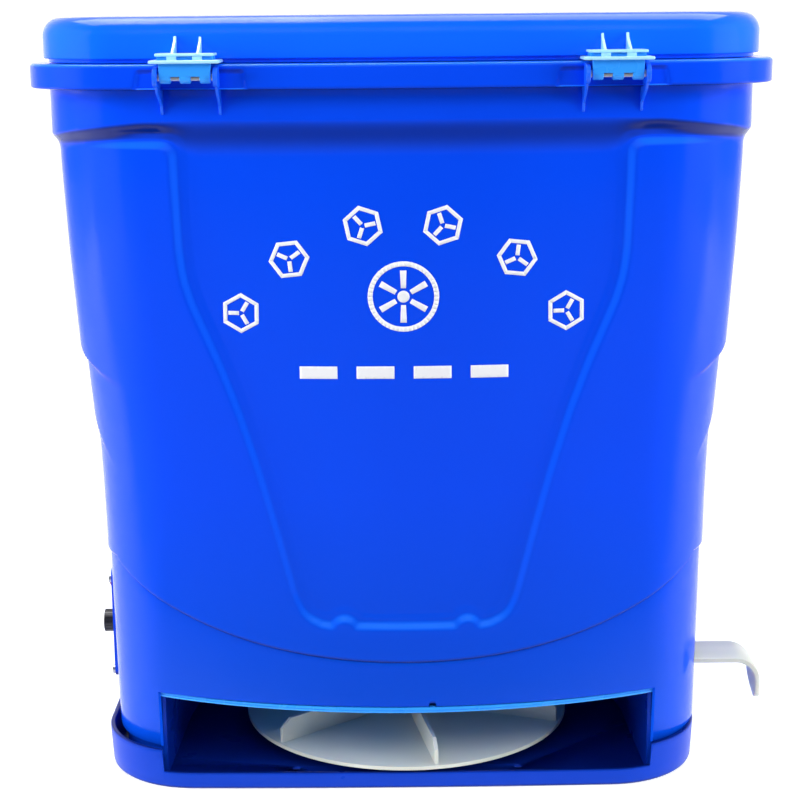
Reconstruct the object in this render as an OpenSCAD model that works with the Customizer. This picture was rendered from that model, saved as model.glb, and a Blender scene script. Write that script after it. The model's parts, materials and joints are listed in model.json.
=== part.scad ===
// Granule spreader worn on the body: a tub with a front-hinged lid, a sliding flow gate and
// a motor-driven spinner disc in a front discharge mouth.
// Axes: +X right, -Y front (the side that throws), +Z up. Origin: underside of the base tray, on the tray's centre.

/* [Tub] */
// Half width of the rim flange
rim_half_w = 190; // [188.5:0.5:191.5]
// Height of the top of the rim flange
rim_z = 391; // [389:1:393]
// Half width of the collar under the flange
collar_half_w = 182; // [181:0.5:182.5]
// Half width of the skirt at the bottom of the tub
skirt_half_w = 164; // [163:0.5:164.5]
// Wall thickness of the moulded shells
wall = 2.6; // [2.2:0.1:3]

/* [Lid] */
// Half width of the lid
lid_half_w = 183; // [182.5:0.5:184]
// Height of the top of the lid
lid_top_z = 414; // [412:1:416]
// Distance of each lid hinge from the middle
hinge_x = 103; // [98:1:112]

/* [Spinner] */
// Radius of the spinner disc
disc_r = 94; // [88:1:98]
// Number of vanes on the disc
vanes = 6; // [3:1:8]
// Height of the vanes above the disc
vane_h = 13; // [10:1:15]
// Plan position of the spinner axis, front to rear
spin_y = -24; // [-26:1:-22]

/* [Flow gate] */
// Radius of the outlet in the hopper floor
outlet_r = 12; // [10:0.5:12]
// Plan position of the outlet, front to rear
outlet_y = -58; // [-60:1:-57]
// Travel of the flow gate
gate_travel = 40; // [36:1:42]

/* [Discharge mouth] */
// Half width of the mouth in the skirt
mouth_half_w = 133.5; // [133:0.5:134.5]
// Height of the top edge of the mouth
mouth_top_z = 52.8; // [52.6:0.1:53.4]

/* [Hidden] */
$fn = 64;
e = 0.01;

// Outlines: a rounded plan whose front is one wide arc running into the corner arcs.
corner_steps = 6;
bow_steps = 12;
rear_r = 38;
skirt_bow = 337;
rim_bow = 800;

function front_r(z) = 50 + 6 * z / rim_z;
function bow_r(z) = skirt_bow + (rim_bow - skirt_bow) * z / rim_z;
function arc(c, r, a0, a1, n) = [for (i = [0:n]) let (a = a0 + (a1 - a0) * i / n) [c.x + r * cos(a), c.y + r * sin(a)]];
function inner(list) = [for (i = [1:len(list) - 2]) list[i]];
function outline(hw, yf, yr, rf, rb, rr) =
    let (a = asin((hw - rf) / (rb - rf)), yc = yf + rb - (rb - rf) * cos(a))
    concat(
        arc([hw - rr, yr - rr], rr, 0, 90, corner_steps),
        arc([rr - hw, yr - rr], rr, 90, 180, corner_steps),
        arc([rf - hw, yc], rf, 180, 270 - a, corner_steps),
        inner(arc([0, yf + rb], rb, 270 - a, 270 + a, bow_steps)),
        arc([hw - rf, yc], rf, 270 + a, 360, corner_steps));
// Front line of a bowed outline at one place across
function bow_y(yf, rb, x) = yf + rb - sqrt(rb * rb - x * x);
// One station of the tub, [z, half width, front, rear], drawn in by an inset
function station(s, inset, z) =
    outline(s[1] - inset, s[2] + inset, s[3] - inset, front_r(z) - inset, bow_r(z) - inset, rear_r - inset);

// Tub
tray_t = 2.5;
nest_z = 24;
nest_half_w = skirt_half_w - 2.7;
collar_z = 352;
flange_z = 378.6;
rim_front = -156;
rim_rear = 134;
collar_front = -145;
collar_rear = 124.5;
skirt_front = -128.5;
skirt_rear = 114;
tub = [
    [tray_t, nest_half_w, skirt_front + 2.7, skirt_rear - 2.7],
    [nest_z, nest_half_w, skirt_front + 2.7, skirt_rear - 2.7],
    [nest_z + 2, skirt_half_w, skirt_front, skirt_rear],
    [188, skirt_half_w + 1.5, -133, 117],
    [240, skirt_half_w + 6, -136, 119],
    [300, skirt_half_w + 11.5, -139, 121],
    [collar_z - 1, collar_half_w - 5, -141.5, 122],
    [collar_z + 1, collar_half_w, collar_front, collar_rear]];
rim = [
    [flange_z - 0.6, collar_half_w, collar_front, collar_rear],
    [flange_z, rim_half_w, rim_front, rim_rear],
    [rim_z, rim_half_w, rim_front, rim_rear]];
mouth_depth = 70;
notch_x = 12;

// Strap eyes on the rear wall
eye_x = 120;
eye_t = 5;
eye_r = 9;
eye_bore_r = 4;
eye_upper = [collar_rear + 11.5, 362];
eye_lower = [skirt_rear + 12, 70];

// Screw bosses
tray_boss = [for (x = [-153.4, 153.4]) for (y = [-35, 75]) [x, y]];
cover_boss = [for (x = [-156.5, 156.5]) for (y = [20, 78]) [x, y]];
boss_r = 6;
pad_r = 5;
screw_r = 1.5;
pad_z = 5;

// Base tray
tray_half_w = 164.5;
tray_half_d = 115;
tray_corner = 57;
lip_half_w = 129.4;
tray_rim_z = 22;
tray_lip_z = 9.5;
tray_bow = 6000;
chamber_r = 132;
chamber_t = 2.4;
chamber_front = -98;
drain = [62, -92];

// Chamber cover and gate
cover_z = 49.2;
cover_top = 52.2;
gate_z = 54.5;
gate_t = 3;
gate_half_w = 14;
gate_left = -58;
gate_bend_x = 186;
gate_bend_r = 14;
gate_tab_z = 33;
guide_left = -62;
guide_right = 154;
guide_top = 60.2;
guide_half_w = 19;
gate_gap = 0.3;

// Motor and spinner
motor_r = 14;
motor_top = 90;
shaft_r = 1.6;
fit = 0.05;
disc_z = 12;
disc_t = 2;
vane_t = 2;
hub_r = 9;
hub_top = 31;

// Funnel floor
funnel_rim_z = 168;
funnel_knee_z = 160;
funnel_low_z = 66;
funnel_t = 2.4;
dome_r = 18;
dome_top = 96;

// Control panel on the left wall
panel_x = -164.9;
panel_t = 2.1;
panel_y = -34;
panel_half_w = 22;
panel_low = 43;
panel_high = 108;
knob_z = 70;
rocker_z = 90;
socket_z = 57.3;
panel_face = panel_x - panel_t;
panel_screw_z = [46.8, 101.5];
rivet_z = 115;
rocker_x = panel_face + 1.5;
rocker_tilt = 12;
pivot_r = 1.2;
pot_bush_r = 3.4;
knob_shaft_r = 2.95;
knob_face = -175;

// Lid hinge
hinge_y = -157;
hinge_z = 385;
ear_r = 6;
ear_t = 3.6;
ear_gap = 12.6;
barrel_r = 4.5;
barrel_half = 12.3;
pin_r = 2;
lid_z = 392;
lid_front = -149.5;
lid_rear = 127.5;
lid_bow = 790;
lid_corner = 50;
tongue_z = 394.8;

module blue() { color([0.02, 0.30, 0.95]) children(); }
module white() { color([0.93, 0.92, 0.86]) children(); }
module black() { color([0.10, 0.10, 0.11]) children(); }
module steel() { color([0.70, 0.71, 0.73]) children(); }

// Solid through a list of [z, outline] rings that all have the same number of points
module loft(rings) {
    n = len(rings[0][1]);
    m = len(rings);
    points = [for (r = rings) for (p = r[1]) [p.x, p.y, r[0]]];
    sides = [for (i = [0:m - 2]) for (j = [0:n - 1])
        let (k = (j + 1) % n, a = i * n + j, b = i * n + k)
        each [[a, a + n, b + n], [a, b + n, b]]];
    base = [[for (j = [0:n - 1]) j]];
    top = [[for (j = [n - 1:-1:0]) (m - 1) * n + j]];
    polyhedron(points = points, faces = concat(base, sides, top));
}

module slab(points, z0, z1) {
    translate([0, 0, z0]) linear_extrude(z1 - z0) polygon(points);
}

// Plate across X with its outline drawn in Y and Z
module cross_plate(x, t, points) {
    translate([x - t / 2, 0, 0]) rotate([90, 0, 90]) linear_extrude(t) polygon(points);
}

module x_cylinder(x0, x1, y, z, r) {
    translate([x0, y, z]) rotate([0, 90, 0]) cylinder(h = x1 - x0, r = r);
}

module z_cylinder(x, y, z0, z1, r) {
    translate([x, y, z0]) cylinder(h = z1 - z0, r = r);
}

module tub_solid() {
    loft([for (s = concat(tub, rim)) [s[0], station(s, 0, s[0])]]);
}

module tub_space() {
    last = tub[len(tub) - 1];
    loft(concat(
        [[tray_t - 1, station(tub[0], wall, tray_t)]],
        [for (i = [1:len(tub) - 1]) [tub[i][0], station(tub[i], wall, tub[i][0])]],
        [[rim_z + 1, station(last, wall, rim_z)]]));
}

module hinge_ear(x) {
    root = bow_y(collar_front, bow_r(collar_z), x) + 1.3;
    x_cylinder(x - ear_t / 2, x + ear_t / 2, hinge_y, hinge_z, ear_r);
    cross_plate(x, ear_t, [
        [hinge_y, hinge_z + ear_r], [hinge_y, hinge_z - ear_r], [root - 2.5, 363], [root, 363],
        [root, hinge_z + ear_r]]);
}

module strap_eye(x, at, root) {
    x_cylinder(x - eye_t / 2, x + eye_t / 2, at[0], at[1], eye_r);
    cross_plate(x, eye_t, [
        [root, at[1] - eye_r], [at[0], at[1] - eye_r], [at[0], at[1] + eye_r], [root, at[1] + eye_r]]);
}

module hopper_shell() {
    ears = [for (h = [-hinge_x, hinge_x]) for (s = [-1, 1]) h + s * (ear_gap + ear_t / 2)];
    blue() difference() {
        union() {
            difference() {
                tub_solid();
                tub_space();
            }
            for (x = ears) hinge_ear(x);
            for (x = [-eye_x, eye_x]) {
                strap_eye(x, eye_upper, collar_rear - 1.5);
                strap_eye(x, eye_lower, skirt_rear - 1.5);
            }
            for (b = tray_boss) z_cylinder(b.x, b.y, pad_z, nest_z, boss_r);
            for (b = cover_boss) z_cylinder(b.x, b.y, cover_top, cover_top + 12, boss_r);
        }
        for (x = ears) x_cylinder(x - ear_t, x + ear_t, hinge_y, hinge_z, pin_r + fit);
        for (x = [-eye_x, eye_x]) {
            x_cylinder(x - eye_t, x + eye_t, eye_upper[0], eye_upper[1], eye_bore_r);
            x_cylinder(x - eye_t, x + eye_t, eye_lower[0], eye_lower[1], eye_bore_r);
        }
        for (b = tray_boss) z_cylinder(b.x, b.y, pad_z - 1, nest_z - 2, screw_r + fit);
        for (b = cover_boss) z_cylinder(b.x, b.y, cover_top - 1, cover_top + 10, screw_r + fit);
        // Discharge mouth with its small notch, gate slot and the window behind the control panel
        translate([-mouth_half_w, skirt_front - 10, 0])
            cube([2 * mouth_half_w, mouth_depth, mouth_top_z]);
        translate([notch_x, skirt_front - 10, mouth_top_z - 1])
            cube([3.5, 20, 3]);
        translate([150, outlet_y - gate_half_w - 1, gate_z - 0.7])
            cube([20, 2 * gate_half_w + 2, gate_t + 1.4]);
        translate([-170, panel_y - 14, 48])
            cube([20, 28, 54]);
        for (y = [-18, 18]) for (z = panel_screw_z)
            x_cylinder(-170, -155, panel_y + y, z, 1.35);
        x_cylinder(-170, -155, panel_y, rivet_z, 2.1);
    }
}

// Floor that falls from all sides to the outlet, with a dome over the motor
module funnel_floor() {
    c = [0, outlet_y];
    top = outline(skirt_half_w - 2, -129, 112.6, 48, 480, 36);
    top_in = outline(skirt_half_w - 4.4, -126.6, 110.2, 45.6, 477.6, 33.6);
    low = [for (p = top) c + (outlet_r + 2.5) * (p - c) / norm(p - c)];
    low_in = [for (p = top_in) c + outlet_r * (p - c) / norm(p - c)];
    blue() difference() {
        union() {
            difference() {
                loft([[funnel_low_z, low], [funnel_knee_z, top], [funnel_rim_z, top]]);
                loft([[funnel_low_z + 1, low_in], [funnel_knee_z + 2, top_in], [funnel_rim_z + 1, top_in]]);
            }
            z_cylinder(0, outlet_y, guide_top, funnel_low_z + 3, outlet_r + funnel_t);
            z_cylinder(0, spin_y, guide_top + 0.4, dome_top, dome_r);
        }
        z_cylinder(0, outlet_y, guide_top - 1, funnel_low_z + 6, outlet_r);
        z_cylinder(0, spin_y, guide_top - 1, dome_top - funnel_t, dome_r - 2.5);
    }
}

module tray_outline_slab(inset, z0, z1) {
    slab(outline(tray_half_w - inset, inset - tray_half_d, tray_half_d - inset,
        tray_corner - inset, tray_bow, rear_r - inset), z0, z1);
}

module base_tray() {
    wall_in = chamber_r - chamber_t;
    wall_h = cover_z - 0.2 - tray_t;
    blue() difference() {
        union() {
            difference() {
                tray_outline_slab(0, 0, tray_rim_z);
                tray_outline_slab(wall - 0.1, tray_t, tray_rim_z + 1);
                translate([-lip_half_w, -tray_half_d - 10, tray_lip_z])
                    cube([2 * lip_half_w, 50, tray_rim_z]);
            }
            for (b = tray_boss) z_cylinder(b.x, b.y, 1, pad_z, pad_r);
            // Wall that closes the discharge chamber behind and beside the disc
            difference() {
                z_cylinder(0, spin_y, tray_t - 0.5, tray_t + wall_h, chamber_r);
                z_cylinder(0, spin_y, tray_t - 1, cover_z + 1, wall_in);
                translate([-200, spin_y - 200, -1]) cube([400, 200, 60]);
            }
            for (x = [-chamber_r, wall_in])
                translate([x, chamber_front, tray_t - 0.5])
                    cube([chamber_t, spin_y - chamber_front, wall_h + 0.5]);
        }
        for (b = tray_boss) {
            z_cylinder(b.x, b.y, -1, 2.6, 4);
            z_cylinder(b.x, b.y, -1, pad_z + 1, 1.8);
        }
        for (x = [-drain.x, drain.x]) z_cylinder(x, drain.y, -1, tray_t + 1, 2.5);
    }
}

module chamber_cover() {
    blue() difference() {
        union() {
            slab(outline(nest_half_w - 0.5, skirt_front + wall + 0.5, skirt_rear - wall - 0.5, 47, skirt_bow + 10, 34),
                cover_z, cover_top);
            // Lip that fills the top of the mouth, flush with the skirt
            intersection() {
                slab(station(tub[2], 0.2, nest_z), cover_z, cover_top);
                translate([0.4 - mouth_half_w, skirt_front - 10, cover_z - 1])
                    cube([2 * mouth_half_w - 0.8, mouth_depth, 10]);
            }
        }
        z_cylinder(0, outlet_y, cover_z - 1, cover_top + 1, outlet_r);
        z_cylinder(0, spin_y, cover_z - 1, cover_top + 1, 5.1);
        for (s = [-1, 1]) z_cylinder(s * 10, spin_y, cover_z - 1, cover_top + 1, 1.6);
        for (b = cover_boss) z_cylinder(b.x, b.y, cover_z - 1, cover_top + 1, 1.8);
    }
}

module gate_guide() {
    blue() difference() {
        translate([guide_left, outlet_y - guide_half_w, cover_top])
            cube([guide_right - guide_left, 2 * guide_half_w, guide_top - cover_top]);
        translate([guide_left + 2, outlet_y - gate_half_w - gate_gap, gate_z - gate_gap])
            cube([guide_right - guide_left, 2 * (gate_half_w + gate_gap), gate_t + 2 * gate_gap]);
        z_cylinder(0, outlet_y, cover_top - 1, guide_top + 1, outlet_r);
    }
}

// Flow gate: a strip with a hole that comes under the outlet, and a turned-down grip
module gate_slide() {
    top = gate_z + gate_t;
    tab_x = gate_bend_x + gate_bend_r;
    white() difference() {
        union() {
            translate([gate_left, outlet_y - gate_half_w, gate_z])
                cube([gate_bend_x - gate_left, 2 * gate_half_w, gate_t]);
            translate([gate_bend_x, outlet_y + gate_half_w, top - gate_bend_r]) rotate([90, 0, 0]) difference() {
                cylinder(h = 2 * gate_half_w, r = gate_bend_r);
                translate([0, 0, -1]) cylinder(h = 2 * gate_half_w + 2, r = gate_bend_r - gate_t);
                translate([-50, -50, -1]) cube([50, 100, 50]);
                translate([-50, -50, -1]) cube([100, 50, 50]);
            }
            translate([tab_x - gate_t, outlet_y - gate_half_w, gate_tab_z + 8])
                cube([gate_t, 2 * gate_half_w, top - gate_bend_r - gate_tab_z - 8]);
            translate([tab_x - gate_t, outlet_y - gate_half_w + 8, gate_tab_z])
                cube([gate_t, 2 * gate_half_w - 16, 9]);
            for (s = [-1, 1])
                x_cylinder(tab_x - gate_t, tab_x, outlet_y + s * (gate_half_w - 8), gate_tab_z + 8, 8);
        }
        z_cylinder(-gate_travel, outlet_y, gate_z - 1, top + 1, outlet_r - 1);
    }
}

function lid_ring(hw_cut, inset) =
    outline(lid_half_w - hw_cut - inset, lid_front + hw_cut + inset, lid_rear - hw_cut - inset,
        lid_corner - hw_cut - inset, lid_bow - hw_cut - inset, 36 - inset);

module lid_tongue(x) {
    wall_y = bow_y(lid_front, lid_bow, x) + 1.5;
    x_cylinder(x - barrel_half, x + barrel_half, hinge_y, hinge_z, barrel_r);
    cross_plate(x, 2 * barrel_half, [
        [hinge_y - barrel_r, hinge_z], [hinge_y - barrel_r, hinge_z + 3], [hinge_y + 2, tongue_z],
        [wall_y, tongue_z], [wall_y, lid_z + 0.2], [hinge_y + barrel_r, lid_z + 0.2],
        [hinge_y + barrel_r, hinge_z]]);
    for (s = [-1, 1])
        cross_plate(x + s * 6.1, 1.6, [[hinge_y + 2, tongue_z - 0.5], [wall_y, 401], [wall_y, tongue_z - 0.5]]);
}

module lid_shell() {
    top_in = lid_top_z - wall;
    neck = outline(178.2, -139.6, 120.8, 54, 780, 35);
    neck_in = outline(175.8, -137.2, 118.4, 51.6, 777.6, 32.6);
    blue() difference() {
        union() {
            difference() {
                loft([[lid_z, lid_ring(0, 0)], [lid_top_z - 11, lid_ring(0, 0)], [lid_top_z - 6, lid_ring(1.3, 0)],
                    [lid_top_z - 2, lid_ring(5.5, 0)], [lid_top_z, lid_ring(12.5, 0)]]);
                loft([[lid_z - 1, lid_ring(0, wall)], [lid_top_z - 11, lid_ring(0, wall)],
                    [top_in - 4, lid_ring(1.3, wall)], [top_in, lid_ring(12, wall)]]);
            }
            difference() {
                slab(neck, 383, top_in + 0.3);
                slab(neck_in, 382, top_in - e);
            }
            for (x = [-hinge_x, hinge_x]) lid_tongue(x);
            // Thumb tab
            translate([-22, lid_rear - 1.2, lid_z + 0.2]) cube([44, 11, 3]);
        }
        for (x = [-hinge_x, hinge_x]) x_cylinder(x - 14, x + 14, hinge_y, hinge_z, pin_r + fit);
    }
}

module lid_seal() {
    black() difference() {
        slab(outline(180.1, -146.4, 124.4, 47, 787, 33), rim_z + 0.3, rim_z + 3);
        slab(outline(178.6, -140.4, 121.2, 54, 780.4, 35.4), rim_z - 1, rim_z + 4);
    }
}

module hinge_pins() {
    reach = ear_gap + ear_t;
    steel() for (x = [-hinge_x, hinge_x]) {
        x_cylinder(x - reach, x + reach + 0.8, hinge_y, hinge_z, pin_r);
        x_cylinder(x - reach - 1.5, x - reach, hinge_y, hinge_z, 3.2);
    }
}

module spinner_disc() {
    top = disc_z + disc_t;
    white() difference() {
        union() {
            z_cylinder(0, spin_y, disc_z, top, disc_r);
            z_cylinder(0, spin_y, disc_z, hub_top, hub_r);
            for (i = [0:vanes - 1])
                translate([0, spin_y, 0]) rotate([90, 0, 40 + i * 360 / vanes])
                    translate([0, 0, -vane_t / 2]) linear_extrude(vane_t) polygon([
                        [hub_r - 2, top - 0.5], [disc_r - 2, top - 0.5], [disc_r - 2, top + vane_h - 5],
                        [disc_r - 8, top + vane_h], [hub_r - 2, top + vane_h]]);
        }
        z_cylinder(0, spin_y, disc_z + 2, hub_top + 1, shaft_r + fit);
        translate([0, spin_y, 28.5]) rotate([0, 90, 70]) cylinder(h = 20, r = 1.3);
    }
}

module hub_screw() {
    steel() translate([0, spin_y, 28.5]) rotate([0, 90, 70]) translate([0, 0, shaft_r + 0.3])
        cylinder(h = hub_r - shaft_r - 0.3, r = 1.25);
}

module motor_can() {
    steel() difference() {
        union() {
            z_cylinder(0, spin_y, cover_top, motor_top, motor_r);
            z_cylinder(0, spin_y, cover_z, cover_top + 1, 5);
        }
        z_cylinder(0, spin_y, 57, motor_top - 2, motor_r - 1.5);
        z_cylinder(0, spin_y, cover_z - 1, 58, shaft_r + fit);
        for (s = [-1, 1]) z_cylinder(s * 10, spin_y, cover_top - 1, cover_top + 4, 1.35);
    }
}

module motor_shaft() {
    steel() z_cylinder(0, spin_y, disc_z + 2.2, 86, shaft_r);
}

module motor_rotor() {
    color([0.72, 0.42, 0.22]) difference() {
        z_cylinder(0, spin_y, 60, 84, 10);
        z_cylinder(0, spin_y, 59, 85, shaft_r + fit);
        for (i = [0:4]) translate([0, spin_y, 0]) rotate(i * 72) translate([6, -1.2, 59]) cube([6, 2.4, 26]);
    }
}

module motor_screws() {
    steel() for (s = [-1, 1]) {
        z_cylinder(s * 10, spin_y, cover_z - 0.5, cover_top + 3.5, 1.3);
        z_cylinder(s * 10, spin_y, cover_z - 2, cover_z, 2.7);
    }
}

battery = [110, 68, 40];
battery_at = [-62, 38, cover_top];

module battery_pack() {
    color([0.10, 0.35, 0.25]) translate(battery_at) difference() {
        cube(battery);
        for (x = [0, battery.x]) for (y = [0, battery.y])
            translate([x, y, -1]) rotate(45) cube([5, 5, 100], center = true);
    }
}

module battery_strap() {
    t = 1.5;
    x0 = battery_at.x - t - 0.5;
    x1 = battery_at.x + battery.x + 0.5;
    h = battery.z + 0.5;
    steel() translate([0, battery_at.y + battery.y / 2 - 10, battery_at.z]) {
        translate([x0, 0, 0]) cube([t, 20, h + t]);
        translate([x1, 0, 0]) cube([t, 20, h + t]);
        translate([x0, 0, h]) cube([x1 - x0 + t, 20, t]);
        translate([x0 - 10, 0, 0]) cube([10 + e, 20, t]);
        translate([x1 + t - e, 0, 0]) cube([10 + e, 20, t]);
    }
}

board = [56, 50, 1.6];
board_at = [66, 30, 58];

module control_board() {
    color([0.05, 0.40, 0.20]) translate(board_at) {
        cube(board);
        translate([6, 8, board.z]) cube([14, 5, 13]);
        translate([26, 6, board.z]) cube([20, 12, 10]);
        translate([34, 30, board.z]) cube([14, 9, 3]);
        translate([12, 34, board.z]) cylinder(h = 12, r = 5);
    }
}

module board_standoffs() {
    white() for (x = [4, board.x - 4]) for (y = [4, board.y - 4])
        z_cylinder(board_at.x + x, board_at.y + y, cover_top, board_at.z, 3);
}

// Flat twin leads lying on the chamber cover
module motor_lead() {
    black() {
        translate([-1.6, spin_y + motor_r, cover_top + 0.6]) cube([3.2, 36, 1.4]);
        translate([-1.6, spin_y + motor_r + 32.8, cover_top + 0.6]) cube([64, 3.2, 1.4]);
    }
}

module battery_lead() {
    black() {
        translate([48, 96, cover_top + 1.8]) cube([60, 3.2, 1.4]);
        translate([104.8, 60, cover_top + 1.8]) cube([3.2, 39.2, 1.4]);
    }
}

module control_panel() {
    r = 5;
    y0 = panel_y - panel_half_w;
    y1 = panel_y + panel_half_w;
    blue() difference() {
        union() {
            translate([panel_face, y0 + r, panel_low]) cube([panel_t, 2 * (panel_half_w - r), panel_high - panel_low]);
            translate([panel_face, y0, panel_low + r])
                cube([panel_t, 2 * panel_half_w, panel_high - panel_low - 2 * r]);
            for (y = [y0 + r, y1 - r]) for (z = [panel_low + r, panel_high - r])
                x_cylinder(panel_face, panel_x, y, z, r);
        }
        x_cylinder(panel_face - 1, panel_x + 1, panel_y, knob_z, pot_bush_r + 0.2);
        x_cylinder(panel_face - 1, panel_x + 1, panel_y, socket_z, 4.1);
        translate([panel_face - 1, panel_y - 7, rocker_z - 10]) cube([panel_t + 2, 14, 20]);
        for (y = [-18, 18]) for (z = panel_screw_z)
            x_cylinder(panel_face - 1, panel_x + 1, panel_y + y, z, 1.5);
    }
}

module panel_screws() {
    steel() for (y = [-18, 18]) for (z = panel_screw_z) {
        x_cylinder(panel_face - 0.2, -160, panel_y + y, z, 1.3);
        x_cylinder(panel_face - 1.6, panel_face, panel_y + y, z, 2.6);
    }
}

module panel_rivet() {
    white() {
        x_cylinder(panel_x - 2.3, panel_x, panel_y, rivet_z, 4.8);
        x_cylinder(panel_x - 3.1, panel_x - 2.2, panel_y, rivet_z, 3.6);
        x_cylinder(panel_x - e, -159, panel_y, rivet_z, 2);
    }
}

module potentiometer() {
    steel() difference() {
        union() {
            x_cylinder(panel_x + 0.1, -154, panel_y, knob_z, 7.5);
            x_cylinder(panel_face - 2, panel_x + 0.2, panel_y, knob_z, pot_bush_r);
        }
        x_cylinder(panel_face - 3, -156, panel_y, knob_z, knob_shaft_r + 0.07);
    }
}

module speed_knob() {
    black() difference() {
        x_cylinder(knob_face, panel_face - 1, panel_y, knob_z, 6.5);
        x_cylinder(knob_face + 2, panel_face, panel_y, knob_z, knob_shaft_r + 0.02);
        x_cylinder(panel_face - 2.6, panel_face, panel_y, knob_z, pot_bush_r + 0.6);
        translate([knob_face - 0.5, panel_y - 0.6, knob_z + 1]) cube([1, 1.2, 6]);
        for (i = [0:17]) translate([0, panel_y, knob_z]) rotate([i * 20 + 10, 0, 0])
            translate([knob_face - 1, 6.2, -0.4]) cube([6, 1, 0.8]);
    }
}

module knob_shaft() {
    steel() x_cylinder(knob_face + 2.2, -157, panel_y, knob_z, knob_shaft_r);
}

module rocker_frame() {
    black() difference() {
        union() {
            translate([panel_face - 1.6, panel_y - 7.7, rocker_z - 11]) cube([1.6, 15.4, 22]);
            translate([panel_face - 0.2, panel_y - 6.9, rocker_z - 9.9]) cube([14, 13.8, 19.8]);
        }
        translate([panel_face - 3, panel_y - 6.1, rocker_z - 9.1]) cube([12, 12.2, 18.2]);
        translate([rocker_x, panel_y + 8, rocker_z]) rotate([90, 0, 0]) cylinder(h = 16, r = pivot_r + fit);
    }
}

module rocker_button() {
    color([0.75, 0.05, 0.04]) translate([rocker_x, panel_y + 5.9, rocker_z]) rotate([0, -rocker_tilt, 0])
        rotate([90, 0, 0]) {
            linear_extrude(11.8) polygon([[3.5, -7.4], [-4.2, -7.4], [-3, 0], [-4.2, 7.4], [3.5, 7.4]]);
            translate([0, 0, -0.9]) cylinder(h = 13.6, r = pivot_r);
        }
}

module charge_socket() {
    black() difference() {
        union() {
            x_cylinder(panel_x + 0.1, -150, panel_y, socket_z, 4.7);
            x_cylinder(panel_face - 1.1, panel_x + 0.2, panel_y, socket_z, 4);
            x_cylinder(panel_face - 1.1, panel_face, panel_y, socket_z, 5);
        }
        difference() {
            x_cylinder(panel_face - 3, -160, panel_y, socket_z, 2.8);
            x_cylinder(panel_face + 0.5, -159, panel_y, socket_z, 1);
        }
    }
}

module tray_screws() {
    steel() for (b = tray_boss) {
        z_cylinder(b.x, b.y, 2.4, 18, screw_r);
        z_cylinder(b.x, b.y, 0.4, 2.6, 3.2);
    }
}

module cover_screws() {
    steel() for (b = cover_boss) {
        z_cylinder(b.x, b.y, cover_z - 0.2, cover_top + 9, screw_r);
        z_cylinder(b.x, b.y, cover_z - 2.2, cover_z, 3);
    }
}

hopper_shell();
funnel_floor();
base_tray();
chamber_cover();
gate_guide();
gate_slide();
lid_shell();
lid_seal();
hinge_pins();
spinner_disc();
hub_screw();
motor_can();
motor_shaft();
motor_rotor();
motor_screws();
battery_pack();
battery_strap();
control_board();
board_standoffs();
motor_lead();
battery_lead();
control_panel();
panel_screws();
panel_rivet();
potentiometer();
speed_knob();
knob_shaft();
rocker_frame();
rocker_button();
charge_socket();
tray_screws();
cover_screws();
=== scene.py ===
"""Studio scene of a body-worn granule spreader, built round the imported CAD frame.

The shells are rebuilt here as dense moulded surfaces in millimetres, from the same outline rule as the CAD:
a rounded plan whose front is one wide arc that runs into the corner arcs. +Z is up and -Y is the front.
"""

import json
import math

import bmesh
import bpy
import numpy as np
from mathutils import Matrix, Vector


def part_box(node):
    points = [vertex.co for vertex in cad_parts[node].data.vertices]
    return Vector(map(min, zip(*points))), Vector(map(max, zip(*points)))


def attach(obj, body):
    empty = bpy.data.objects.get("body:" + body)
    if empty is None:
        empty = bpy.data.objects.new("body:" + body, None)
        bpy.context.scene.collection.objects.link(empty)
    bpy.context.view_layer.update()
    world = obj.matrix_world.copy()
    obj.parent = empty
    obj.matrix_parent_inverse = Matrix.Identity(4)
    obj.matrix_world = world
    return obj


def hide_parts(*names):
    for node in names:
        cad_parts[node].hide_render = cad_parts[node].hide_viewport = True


MM = 0.001
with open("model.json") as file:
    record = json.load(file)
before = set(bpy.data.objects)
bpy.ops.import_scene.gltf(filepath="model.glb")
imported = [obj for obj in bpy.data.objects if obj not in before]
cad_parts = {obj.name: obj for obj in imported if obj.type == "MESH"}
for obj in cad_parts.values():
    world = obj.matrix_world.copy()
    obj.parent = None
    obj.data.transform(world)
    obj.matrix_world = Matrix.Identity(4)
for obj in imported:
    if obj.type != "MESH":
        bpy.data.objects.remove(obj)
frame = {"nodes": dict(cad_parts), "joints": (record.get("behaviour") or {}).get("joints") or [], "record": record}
bpy.context.scene.view_settings.view_transform = "Standard"
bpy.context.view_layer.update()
joints = {j["name"]: j for j in frame["joints"]}


def box_mm(node):
    """Lowest and highest corner of a CAD node in millimetres."""
    low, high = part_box(node)
    return np.array(low) / MM, np.array(high) / MM


# ---- Sizes in millimetres ----

# Taken from the frame
TUB_HIGH = box_mm("hopper_shell")[1]
LID_HIGH = box_mm("lid_shell")[1]
TRAY_HIGH = box_mm("base_tray")[1]
COVER_LOW, COVER_HIGH = box_mm("chamber_cover")
FUNNEL_TOP = box_mm("funnel_floor")[1][2]
GUIDE_TOP = box_mm("gate_guide")[1][2]
GATE_LOW, GATE_HIGH = box_mm("gate_slide")
POT_LOW, POT_HIGH = box_mm("potentiometer")
HINGE_Y, HINGE_Z = (v / MM for v in joints["lid_hinge"]["pos_m"][1:])
SPIN_Y = joints["spinner_spin"]["pos_m"][1] / MM
GATE_TRAVEL = joints["flow_gate_slide"]["range_m"][1] / MM
OUTLET_Y = (GATE_LOW[1] + GATE_HIGH[1]) / 2
# Rounded, because the frame holds single-precision values
RIM_HALF, RIM_Z = round(float(TUB_HIGH[0]), 3), round(float(TUB_HIGH[2]), 3)

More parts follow.
